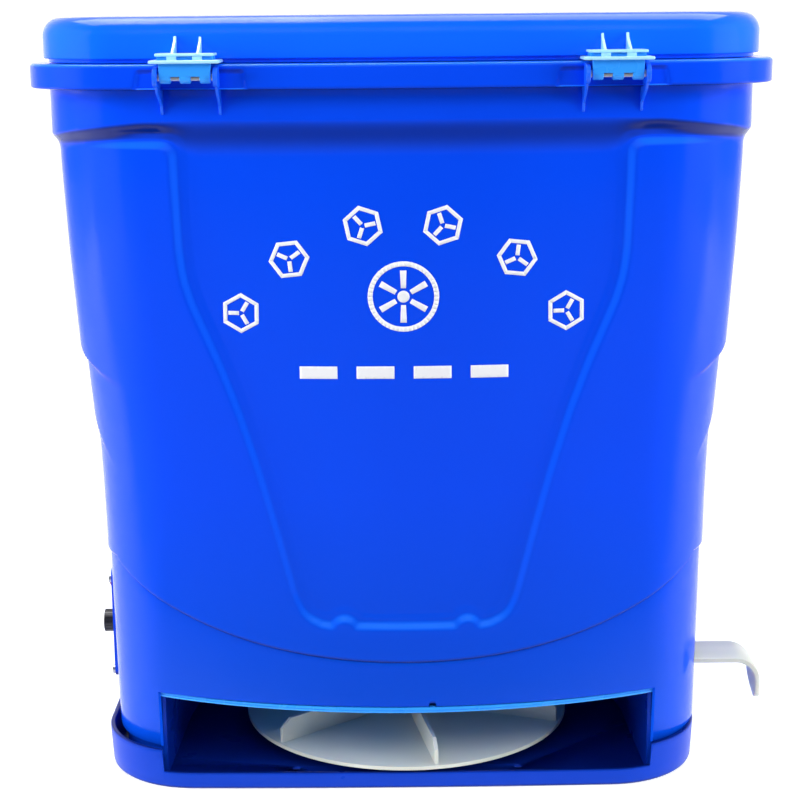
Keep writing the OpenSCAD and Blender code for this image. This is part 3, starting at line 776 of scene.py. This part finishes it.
def build_tub():
    """The whole tub wall with its openings."""
    wall = TubWall()
    wall.add_skirt()
    wall.add_body()
    wall.add_collar()
    wall.add_rim()
    wall.add_inside()
    tub = make_object("tub", np.concatenate(wall.rows), wall.faces(), 38.0)
    slot = block("cut_slot", (150, GATE_LOW[1] - 1, SLOT_Z[0]), (175, GATE_HIGH[1] + 1, SLOT_Z[1]))
    window = block("cut_window", (-175, POT_LOW[1] - 6, WINDOW_Z[0]), (-150, POT_HIGH[1] + 6, WINDOW_Z[1]))
    notch = block("cut_notch", (NOTCH_X[0], -140, MOUTH_Z - 1), (NOTCH_X[1], -115, MOUTH_Z + 1.7))
    return cut(tub, slot, window, notch)


def ear(x):
    """Hinge ear on the flange, with a thin gusset below it that runs down the collar."""
    root = bow_front(x, COLLAR[1], LID_BOW) + 1.2
    under = HINGE_Z - EAR_R - 0.6
    outline = circle(HINGE_Y, HINGE_Z, EAR_R, 22, 100, 262)
    outline += [(HINGE_Y + 5, under), (root, under), (root, RIM_Z + 0.1), (HINGE_Y, HINGE_Z + EAR_R + 0.1)]
    plate = prism("ear", outline, x - 1.1, x + 1.1, "x")
    foot_z = HINGE_Z - 18.8
    tail = [(HINGE_Y - 0.5, HINGE_Z - EAR_R + 1.5), (HINGE_Y + 4.5, foot_z + 10.8),
            (root - 3.4, foot_z + 4.3), (root - 2.2, foot_z + 0.8), (root - 1.2, foot_z), (root, foot_z),
            (root, HINGE_Z - 4)]
    gusset = prism("gusset", tail, x - 0.7, x + 0.7, "x")
    return join("ear", [eased(plate, 0.4), eased(gusset, 0.3)])


def strap_eye(x, y, z):
    """A half-round eye with a short web that runs into the rear wall."""
    r, root = 9.0, y - 13.5
    outline = circle(y, z, r, 25, -90, 90) + [(root, z + r), (root, z - r)]
    plate = prism("eye", outline, x - 2.5, x + 2.5, "x")
    cut(plate, hole("eye_hole", 4.0, -6, 6, (x, y, z), 40, "x"))
    return eased(plate, 0.6)


finish_piece(build_tub(), "spreader", "blue_pp", BLUE, "hopper_shell")
ears = [ear(x + side * EAR_AT) for x in (-HINGE_X, HINGE_X) for side in (-1, 1)]
finish_piece(join("hinge_ears", ears), "spreader", "blue_pp", BLUE_EAR_LIT)
mounts = {m["name"]: m for m in frame["record"]["mounts"]}
eyes = [strap_eye(*(v / MM for v in mounts[f"strap_eye_{level}_{side}"]["pos_m"]))
        for level in ("upper", "lower") for side in ("left", "right")]
finish_piece(join("strap_eyes", eyes), "spreader", "blue_pp", BLUE)

# ---- Funnel floor ----


FUNNEL_LOW_Z = 66.0
KNEE_Z = 160.0
FUNNEL_T = 2.4
DOME_R = 18.0
DOME_TOP = 96.0


def funnel_skin(cols, inset, outlet_r, low_z, knee_z):
    """Rings of one skin from the outlet up a cone to the knee, and from there straight up to the rim."""
    half, front, rear = SKIRT_HALF - 2 - inset, inset - 129, 112.6 - inset
    x, y, _, _ = cols.place(half, front, rear, 48 - inset, 480 - inset, 36 - inset)
    rim = np.column_stack([x, y])
    outlet = np.array([0.0, OUTLET_Y])
    spoke = rim - outlet
    small = outlet + outlet_r * spoke / np.linalg.norm(spoke, axis=1)[:, None]
    rows = [np.column_stack([small, np.full(cols.n, GUIDE_TOP)])]
    for t in (0, 0.02, 0.05, 0.1, 0.2, 0.35, 0.5, 0.65, 0.8, 0.9, 0.96, 0.99):
        z = low_z + (knee_z - low_z) * t
        rows.append(np.column_stack([small + (rim - small) * t, np.full(cols.n, z)]))
    for rise in (1.0, 3.0, FUNNEL_TOP - knee_z):
        rows.append(np.column_stack([rim, np.full(cols.n, knee_z + rise)]))
    return rows


def build_funnel():
    """Sloping floor of the tub with the outlet, and a dome over the motor."""
    half = 120.0
    cols = Columns(half, even(half, 5.0), 16, 16, 12, 24)
    rows = funnel_skin(cols, FUNNEL_T, OUTLET_R, FUNNEL_LOW_Z + 1.2, KNEE_Z + 2.0)
    rows += funnel_skin(cols, 0.0, OUTLET_R + FUNNEL_T, FUNNEL_LOW_Z, KNEE_Z)[::-1]
    floor = fix_normals(make_object("funnel", np.concatenate(rows), ring_faces(len(rows), cols.n)))
    r, top, foot, edge = DOME_R, DOME_TOP, GUIDE_TOP + 0.5, 3.0
    dome = [(r, foot), (r, top - edge)]
    dome += circle(r - edge, top - edge, edge, 6, 15, 90)
    dome += [(r - 9, top + 0.3), (0.5, top + 0.6), (0.5, top - 2.0), (r - 5.5, top - 2.4),
             (r - 2.5, top - 4.5), (r - 2.5, foot)]
    return join("funnel", [floor, lathe("dome", dome, (0, SPIN_Y, 0), 72, "z", True)])


finish_piece(build_funnel(), "spreader", "blue_pp", BLUE, "funnel_floor")

# ---- Base tray ----


# The tray sits a little to the left under the skirt, as it was screwed on
TRAY_SHIFT = -2.9
TRAY_WALL = 2.5
TRAY_SCREWS = [(x, y) for x in (-153.4, 153.4) for y in (-35.0, 75.0)]
TRAY_DRAINS = [(-62.0, -92.0), (62.0, -92.0)]
CHAMBER_R = 132.0
CHAMBER_T = 2.4
CHAMBER_FRONT = -98.0


def tray_ring(cols, inset, z):
    """A ring of the tray, which gets a little wider towards its rim."""
    depth = TRAY_HIGH[1] - inset
    half = TRAY_HIGH[0] + 1.6 - inset - 1.2 * (1 - z / TRAY_RIM)
    x, y, _, _ = cols.place(half, -depth, depth, 51.0 - inset, 4500.0, REAR_R - inset)
    return np.column_stack([x + TRAY_SHIFT, y, z])


def chamber_wall():
    """Wall round the disc, open to the front, with its two ends splayed out to the mouth."""
    sides = np.linspace(CHAMBER_FRONT, SPIN_Y, 8)
    outer = [(-CHAMBER_R, y) for y in sides] + circle(0, SPIN_Y, CHAMBER_R, 59, 177, 3)
    outer += [(CHAMBER_R, y) for y in sides[::-1]]
    share = 1 - CHAMBER_T / CHAMBER_R
    inner = [(x * share, SPIN_Y + (y - SPIN_Y) * share if y > SPIN_Y else y) for x, y in outer[::-1]]
    splay = (MOUTH_HALF - 1.5 - CHAMBER_R) / (SPIN_Y - CHAMBER_FRONT)
    outline = [(x + math.copysign(splay, x) * max(0.0, SPIN_Y - y), y) for x, y in outer + inner]
    return eased(prism("chamber_wall", outline, TRAY_T - 0.4, COVER_LOW[2] - 0.2), 0.4)


def build_tray():
    """Tray with a low lip under the mouth, drain holes, screw holes and the chamber wall."""
    half = MOUTH_HALF + 2.0
    edge, slant = MOUTH_HALF - 2.6, 0.7
    marks = [side * e - TRAY_SHIFT for side in (-1, 1) for e in (edge - slant, edge)]
    cols = Columns(half, even(half, 4.0, marks), 24, 20, 14, 24)
    is_lip = (cols.kind == "front") & (np.abs(cols.at + TRAY_SHIFT) < edge - 0.5 * slant)
    top = np.where(is_lip, TRAY_LIP, TRAY_RIM)
    wall = TRAY_WALL
    section = [(2.2, 0.0), (1.0, 0.25), (0.3, 0.9), (0.0, 2.0)]
    section += [(0.0, 2.0 + (top - 2.6) * share) for share in (0.4, 0.7, 0.9)]
    section += [(0.05, top - 0.5), (0.35, top - 0.1), (0.8, top), (wall - 0.6, top),
                (wall - 0.15, top - 0.15), (wall, top - 0.6), (wall, TRAY_T + 1.6),
                (wall + 0.5, TRAY_T + 0.5), (wall + 1.6, TRAY_T)]
    tray = stack("tray", [tray_ring(cols, inset, np.broadcast_to(z, cols.at.shape)) for inset, z in section])
    cut(tray,
        *[hole("drain", 2.5, -2, 6, (x, y, 0)) for x, y in TRAY_DRAINS],
        *[hole("screw_hole", 4.0, -2, 2.2, (x, y, 0)) for x, y in TRAY_SCREWS])
    return join("tray", [tray, chamber_wall()])


finish_piece(build_tray(), "spreader", "blue_pp", BLUE_TRAY_SHADED, "base_tray")

# ---- Chamber cover ----


def build_cover():
    """Flat cover whose front edge fills the top of the mouth, with a fine groove along the edge."""
    half = MOUTH_HALF - 0.4
    cols = Columns(half, even(half, 2.5), 16, 12, 10, 16)
    plan = (SKIRT_HALF - 3.2, -128.3, 110.9, 47.0, 353.0, 34.0)
    low, high = COVER_LOW[2], COVER_HIGH[2]
    edge = ((0.7, low), (0.15, low + 0.25), (0, low + 0.6), (0, low + 1.25), (0.35, low + 1.45),
            (0.35, low + 1.6), (0, low + 1.8), (0, high - 0.6), (0.15, high - 0.25), (0.7, high))
    cover = stack("cover", [cols.ring(plan, inset, z) for inset, z in edge])
    return cut(cover,
               hole("outlet_hole", OUTLET_R, low - 2, high + 2, (0, OUTLET_Y, 0), 48),
               hole("shaft_hole", 5.1, low - 2, high + 2, (0, SPIN_Y, 0)))


finish_piece(build_cover(), "spreader", "blue_pp", BLUE_THIN_LIT, "chamber_cover")

# ---- Flow gate ----


GATE_T = 3.0
GATE_BEND_R = 14.0
GATE_HOLE_R = 11.0


def gate_section(x, z, dx, dz):
    """Points round the strip where its middle line is at x, z and runs along dx, dz."""
    front, rear = GATE_LOW[1], GATE_HIGH[1]
    t, edge = GATE_T / 2, 0.55
    grip_top = GATE_HIGH[2] - GATE_BEND_R + 2.0
    u = np.clip((grip_top - z) / (grip_top - GATE_LOW[2]), 0, 1) if dx < 0.5 else 0.0
    # The grip narrows downwards from the rear and ends in a round tip
    y_rear = rear - 21.0 * u**2.4 - 2.0 * smooth(u * 8)
    tip = math.sqrt(max(0.0, 1 - max(0.0, (u - 0.72) / 0.28) ** 2))
    mid = front + 4.5
    y0, y1 = mid + (front - mid) * tip, max(mid + (y_rear - mid) * tip, mid + 0.3)
    section = [(-t, y0 + edge), (-t + edge, y0), (t - edge, y0), (t, y0 + edge),
               (t, y1 - edge), (t - edge, y1), (-t + edge, y1), (-t, y1 - edge)]
    return [(x - dz * o, y, z + dx * o) for o, y in section]


def build_gate():
    """A strip that bends down outside the wall into a grip with a leaf-shaped end."""
    top, outer = GATE_HIGH[2], GATE_HIGH[0]
    r = GATE_BEND_R
    mid = GATE_T / 2
    path = [(x, top - mid, 1.0, 0.0) for x in np.linspace(GATE_LOW[0], outer - r, 30)]
    for a in np.radians(np.linspace(8, 90, 12)):
        sin, cos = math.sin(a), math.cos(a)
        path.append((outer - r + (r - mid) * sin, top - r + (r - mid) * cos, cos, -sin))
    path += [(outer - mid, z, 0.0, -1.0) for z in np.linspace(top - r - 1, GATE_LOW[2] + 0.15, 26)]
    strip = fix_normals(stack("gate", [gate_section(*place) for place in path], 45.0))
    return cut(strip, hole("gate_hole", GATE_HOLE_R, top - 6, top + 3, (-GATE_TRAVEL, OUTLET_Y, 0), 64))


finish_piece(build_gate(), "gate", "white_pp", WHITE, "gate_slide")

# ---- Lid ----


LID_GAP = 2.6
LID_DEPTH = 277.0


def build_lid():
    """Lid with a rounded shoulder over a set-back foot, a neck that goes into the tub, and a thumb tab."""
    rear = LID_FRONT + LID_DEPTH
    low, high = HINGE_Z + 7.0, LID_HIGH[2]
    half = 120.0
    cols = Columns(half, even(half, 3.0), 24, 24, 14, 30)
    plan = (LID_HIGH[0], LID_FRONT, rear, 50.0, LID_BOW, 36.0)

    def shoulder(radius, rise, inset, start, steps):
        return [(inset + radius * (1 - math.cos(a)), start + rise * math.sin(a))
                for a in np.radians(np.linspace(0, 90, steps))]

    foot = RIM_Z + 0.3
    under = high - WALL
    section = [(31.0, under)]
    section += shoulder(8.0, 8.0, LID_GAP + 1.4, under - 8.0, 9)[::-1]
    section += [(LID_GAP + 1.4, foot + 0.4), (LID_GAP + 1.0, foot), (LID_GAP + 0.3, foot),
                (LID_GAP, foot + 0.3), (LID_GAP, low + 1.1), (0.5, low + 1.2), (0.1, low + 1.6),
                (0.0, low + 3.0), (0.0, low + 7)]
    section += shoulder(9.0, 9.6, 0.0, high - 10.1, 14)
    section += [(14.0, high - 0.4), (22.0, high - 0.2), (31.0, high)]
    shell = fix_normals(stack("lid", [cols.ring(plan, inset, z) for inset, z in section]))
    neck_plan = (178.2, -139.6, 120.8, 54.0, 780.0, 35.0)
    neck_low, neck_top = HINGE_Z - 2.0, under + 0.2
    section = ((1.2, neck_low), (0.3, neck_low + 0.4), (0, neck_low + 1.5), (0, neck_top), (2.4, neck_top),
               (2.4, neck_low + 1.0), (1.9, neck_low + 0.1))
    rows = [cols.ring(neck_plan, inset, z) for inset, z in section]
    neck = fix_normals(make_object("neck", np.concatenate(rows), ring_faces(len(rows), cols.n), 38.0))
    tab = block("tab", (-22, rear - 1.5, low + 0.2), (22, LID_HIGH[1], low + 3.2))
    return join("lid", [shell, neck, eased(tab, 1.0, 3)])


finish_piece(build_lid(), "lid", "blue_pp", LID_BLUE_LIT, "lid_shell")


KNUCKLE_HALF = 2.7
RIB_AT = 6.1


def hinge_leaf(x):
    """Lid half of one hinge: the leaf with its knuckles, and the cap plates over the ears with two ribs."""
    wall_y = bow_front(x, LID_FRONT, LID_BOW) + 1.0
    top = RIM_Z + 0.5
    r, w = BARREL_R, KNUCKLE_HALF

    def bar(half, y0, y1, z0, z1, at=0.0, edge=0.3):
        return eased(block("bar", (x + at - half, y0, z0), (x + at + half, y1, z1)), edge)

    cap = [bar(16.8, HINGE_Y - 6.4, wall_y + 2.0, top, top + 1.6, edge=0.6),
           bar(14.0, HINGE_Y - 3.5, wall_y + 1.0, top + 3.4, top + 4.7, edge=0.4)]
    cap += [bar(2.3, HINGE_Y - 3.0, wall_y + 1.0, top + 1.3, top + 3.6, at) for at in (-RIB_AT, RIB_AT)]
    rib = [(HINGE_Y - 1.0, top + 4.5), (wall_y - 3.0, top + 10.5), (wall_y - 1.6, top + 12.6),
           (wall_y + 0.5, top + 12.6), (wall_y + 0.5, top + 4.5)]
    cap += [eased(prism("rib", rib, x + at - 0.65, x + at + 0.65, "x"), 0.3) for at in (-RIB_AT, RIB_AT)]
    apron = [(HINGE_Y - r, HINGE_Z + 0.2), (HINGE_Y - r - 0.4, top + 0.4), (HINGE_Y + 2.0, top + 0.4),
             (HINGE_Y - 2.4, HINGE_Z + 0.6)]
    knuckle = [(r - 0.7, -w), (r - 0.2, 0.2 - w), (r, 0.7 - w),
               (r, w - 0.7), (r - 0.2, w - 0.2), (r - 0.7, w)]
    leaf = [bar(13.2, HINGE_Y - 1.5, wall_y + 1.0, top + 1.2, top + 3.8),
            eased(prism("apron", apron, x - 12.3, x + 12.3, "x"), 0.5)]
    leaf += [lathe("knuckle", knuckle, (x + at, HINGE_Y, HINGE_Z), 40, "x") for at in (-9.6, 0.0, 9.6)]
    return join("leaf", leaf), join("cap", cap)


def hinge_pin(x):
    """Pin of one hinge, with both ends inside the ears."""
    profile = [(1.5, -15.3), (1.8, -15.0), (1.8, 15.0), (1.5, 15.3)]
    return lathe("pin", profile, (x, HINGE_Y, HINGE_Z), 32, "x")


pins = [hinge_pin(x) for x in (-HINGE_X, HINGE_X)]
finish_piece(join("hinge_pin_pair", pins), "spreader", "steel", STEEL, "hinge_pins")
leaves, caps = zip(*[hinge_leaf(x) for x in (-HINGE_X, HINGE_X)])
finish_piece(join("hinge_leaves", leaves), "lid", "blue_pp", BLUE_THIN_LIT)
finish_piece(join("hinge_caps", caps), "lid", "blue_pp", BLUE_CAP_LIT)

# ---- Generic print on the front ----


PRINT_ARC_R = 96.0
PRINT_ARC_Z = 217.0
PRINT_BAR_Z = 235.75


def conform(name, shapes, step=2.5, lift=0.12):
    """Thin white print: flat (x, z) outlines laid on the recessed front."""
    bm = bmesh.new()
    for outline in shapes:
        bm.faces.new([bm.verts.new((x, 0, z)) for x, z in outline])
    bmesh.ops.triangulate(bm, faces=bm.faces)
    for _ in range(6):
        long_edges = [e for e in bm.edges if e.calc_length() > step]
        if not long_edges:
            break
        bmesh.ops.subdivide_edges(bm, edges=long_edges, cuts=1, use_grid_fill=False)
        bmesh.ops.triangulate(bm, faces=[f for f in bm.faces if len(f.verts) > 3])
    verts = np.array([v.co[:] for v in bm.verts])
    faces = [tuple(v.index for v in f.verts) for f in bm.faces]
    bm.free()
    verts[:, 1] = tub_surface_y(verts[:, 0], verts[:, 2]) - lift
    obj = make_object(name, verts, faces)
    modify(obj, "SOLIDIFY", thickness=0.1 * MM, offset=0.0)
    return flatten(obj)


def band(cx, cz, r, width, steps, turn=0.0):
    """Outlines of the straight pieces of a ring with that many corners."""
    angles = [turn + 2 * math.pi * k / steps for k in range(steps + 1)]
    pieces = [((a0, r), (a1, r), (a1, r - width), (a0, r - width)) for a0, a1 in zip(angles, angles[1:])]
    return [[(cx + q * math.cos(a), cz + q * math.sin(a)) for a, q in corners] for corners in pieces]


def spoke(cx, cz, r, angle, outline):
    """An outline in shares of r along and across a direction, set in place."""
    c, s = math.cos(angle), math.sin(angle)
    return [(cx + r * (u * c - v * s), cz + r * (u * s + v * c)) for u, v in outline]


def granule(cx, cz, r, turn):
    """A granule mark: a hexagon ring with three short spokes."""
    arm = [(0.10, 0.10), (0.62, 0.10), (0.62, -0.10), (0.10, -0.10)]
    arms = [spoke(cx, cz, r, turn + math.radians(120 * k + 30), arm) for k in range(3)]
    return band(cx, cz, r, r * 0.22, 6, turn) + arms


def fan_mark(cx, cz, r):
    """A spinner seen from above: a round band, a hub and six short straight blades."""
    blade = [(0.24, -0.07), (0.74, -0.09), (0.74, 0.09), (0.24, 0.07)]
    blades = [spoke(cx, cz, r, math.radians(60 * k + 30), blade) for k in range(6)]
    return band(cx, cz, r, r * 0.14, 48) + [circle(cx, cz, r * 0.17, 24)] + blades


def print_bar(x, half=9.6, rise=3.25):
    """Outline of one plain bar."""
    return [(x - half, PRINT_BAR_Z - rise), (x + half, PRINT_BAR_Z - rise),
            (x + half, PRINT_BAR_Z + rise), (x - half, PRINT_BAR_Z + rise)]


marks = []
for turn in np.radians((149.0, 126.5, 102.0, 78.0, 53.5, 31.0)):
    marks += granule(PRINT_ARC_R * math.cos(turn), PRINT_ARC_Z + PRINT_ARC_R * math.sin(turn), 10.4, turn)
marks += fan_mark(0.0, 275.0, 18.0)
marks += [print_bar(-43.5 + 29.0 * k) for k in range(4)]
finish_piece(conform("front_print", marks), "spreader", "white_pp", PRINT)

# ---- CAD nodes that stay, with bevels and their own finishes ----

# Finish and width of the eased edges of each node
LOOKS = {
    "gate_guide": (BLUE, 0.5), "lid_seal": (RUBBER, 0.5),
    "spinner_disc": (WHITE, 0.35), "hub_screw": (STEEL, 0.1),
    "motor_can": (STEEL, 0.5), "motor_shaft": (STEEL, 0.2),
    "motor_rotor": (COPPER, 0.2), "motor_screws": (STEEL, 0.2),
    "battery_pack": (SLEEVE, 1.5), "battery_strap": (STEEL, 0.3),
    "control_board": (BOARD, 0.3), "board_standoffs": (WHITE, 0.2),
    "motor_lead": (RUBBER, 0.3), "battery_lead": (RUBBER, 0.3),
    "control_panel": (BLUE, 0.6), "panel_screws": (STEEL, 0.4), "panel_rivet": (WHITE, 0.6),
    "potentiometer": (STEEL, 0.2), "speed_knob": (BLACK, 2.2), "knob_shaft": (STEEL, 0.2),
    "rocker_frame": (BLACK, 0.3), "rocker_button": (RED, 0.5), "charge_socket": (BLACK, 0.3),
    "tray_screws": (STEEL, 0.3), "cover_screws": (STEEL, 0.3)}
for node, (material, width) in LOOKS.items():
    obj = frame["nodes"][node]
    if not obj.material_slots:
        obj.data.materials.append(material)
    for material_slot in obj.material_slots:
        material_slot.material = material
    bevel(obj, width, 2, 40.0)

# ---- Stage ----


def build_stage():
    """A pale sweep: floor that curves up into a backdrop."""
    pale = Nodes("pale_sweep", (0.90, 0.90, 0.90), 0.85, Emission_Color=(1, 1, 1, 1))
    place = pale.node("ShaderNodeSeparateXYZ")
    pale.link(pale.coord, place.inputs["Vector"])
    pale.link(pale.remap(place.outputs["Y"], 0.0, 0.4, -0.26, -0.12), pale.bsdf.inputs["Emission Strength"])
    shade = pale.remap(place.outputs["Y"], 0.0, 1.0, -0.26, -0.12)
    pale.link(pale.colours(shade, (0.30, 0.30, 0.31), (0.90, 0.90, 0.90)), pale.bsdf.inputs["Base Color"])
    pale.link(pale.remap(pale.noise(3.0), 0.82, 0.9), pale.bsdf.inputs["Roughness"])
    front, rear, bend = -1500.0, 900.0, 700.0
    profile = [(front, 0.0), (rear, 0.0)] + circle(rear, bend, bend, 12, 8 - 90, 0) + [(rear + bend, 2400.0)]
    verts = [(x, y, z) for x in (-2200.0, 2200.0) for y, z in profile]
    n = len(profile)
    sweep = make_object("sweep", verts, [(j, j + 1, n + j + 1, n + j) for j in range(n - 1)], 60.0)
    paint(sweep, pale.mat)


def area_light(name, place, target, size, power, mirrored=True):
    """A rectangular light; mirrored says whether glossy surfaces show it."""
    data = bpy.data.lights.new(name, "AREA")
    data.shape = "RECTANGLE"
    data.size, data.size_y = size
    data.energy = power
    obj = bpy.data.objects.new(name, data)
    obj.location = place
    obj.rotation_euler = (Vector(target) - Vector(place)).to_track_quat("-Z", "Y").to_euler()
    obj.visible_glossy = mirrored
    bpy.context.scene.collection.objects.link(obj)
    return obj


def build_world():
    """White surroundings to the sides, above and behind, and a dark room in front and below."""
    world = bpy.data.worlds.new("studio")
    bpy.context.scene.world = world
    world.use_nodes = True
    tree = world.node_tree
    background = tree.nodes["Background"]
    background.inputs["Color"].default_value = (0.95, 0.97, 1.0, 1)
    coord = tree.nodes.new("ShaderNodeTexCoord")
    split = tree.nodes.new("ShaderNodeSeparateXYZ")
    tree.links.new(coord.outputs["Generated"], split.inputs["Vector"])
    both = tree.nodes.new("ShaderNodeMath")
    both.operation = "MULTIPLY"
    fade = map_range(tree, split.outputs["Y"], 0.16, 0.55, -0.55, 0.25, "SMOOTHSTEP")
    ground = map_range(tree, split.outputs["Z"], 0.35, 1.0, -0.3, 0.0, "SMOOTHSTEP")
    tree.links.new(fade, both.inputs[0])
    tree.links.new(ground, both.inputs[1])
    tree.links.new(both.outputs["Value"], background.inputs["Strength"])


def build_lights():
    area_light("top_softbox", (0.0, -1.15, 0.98), (0, -0.1, 0.25), (1.5, 0.5), 7.5, mirrored=False)
    area_light("side_left", (-1.35, -0.42, 0.55), (0, 0, 0.2), (0.9, 1.1), 24, mirrored=False)
    area_light("side_right", (1.35, -0.42, 0.55), (0, 0, 0.2), (0.9, 1.1), 22, mirrored=False)
    for name, x, width, power in (("overhead", 0.0, 1.7, 24), ("overhead_left", -0.30, 0.5, 36)):
        panel = area_light(name, (x, 0.12, 1.30), (x, 0.12, 0.0), (width, 0.9), power)
        panel.visible_diffuse = False


def build_camera():
    """A long lens a metre in front, level with the top of the lid and looking down a little."""
    data = bpy.data.cameras.new("camera")
    data.sensor_width = 36.0
    data.lens = 78.75
    data.clip_start = 0.05
    obj = bpy.data.objects.new("camera", data)
    pitch, roll = math.radians(12.4), math.radians(0.52)
    turn = Matrix.Rotation(math.radians(90) - pitch, 4, "X") @ Matrix.Rotation(-roll, 4, "Z")
    obj.matrix_world = Matrix.Translation((-0.0022, -1.004, 0.413)) @ turn
    bpy.context.scene.collection.objects.link(obj)
    bpy.context.scene.camera = obj


build_stage()
build_world()
build_lights()
build_camera()
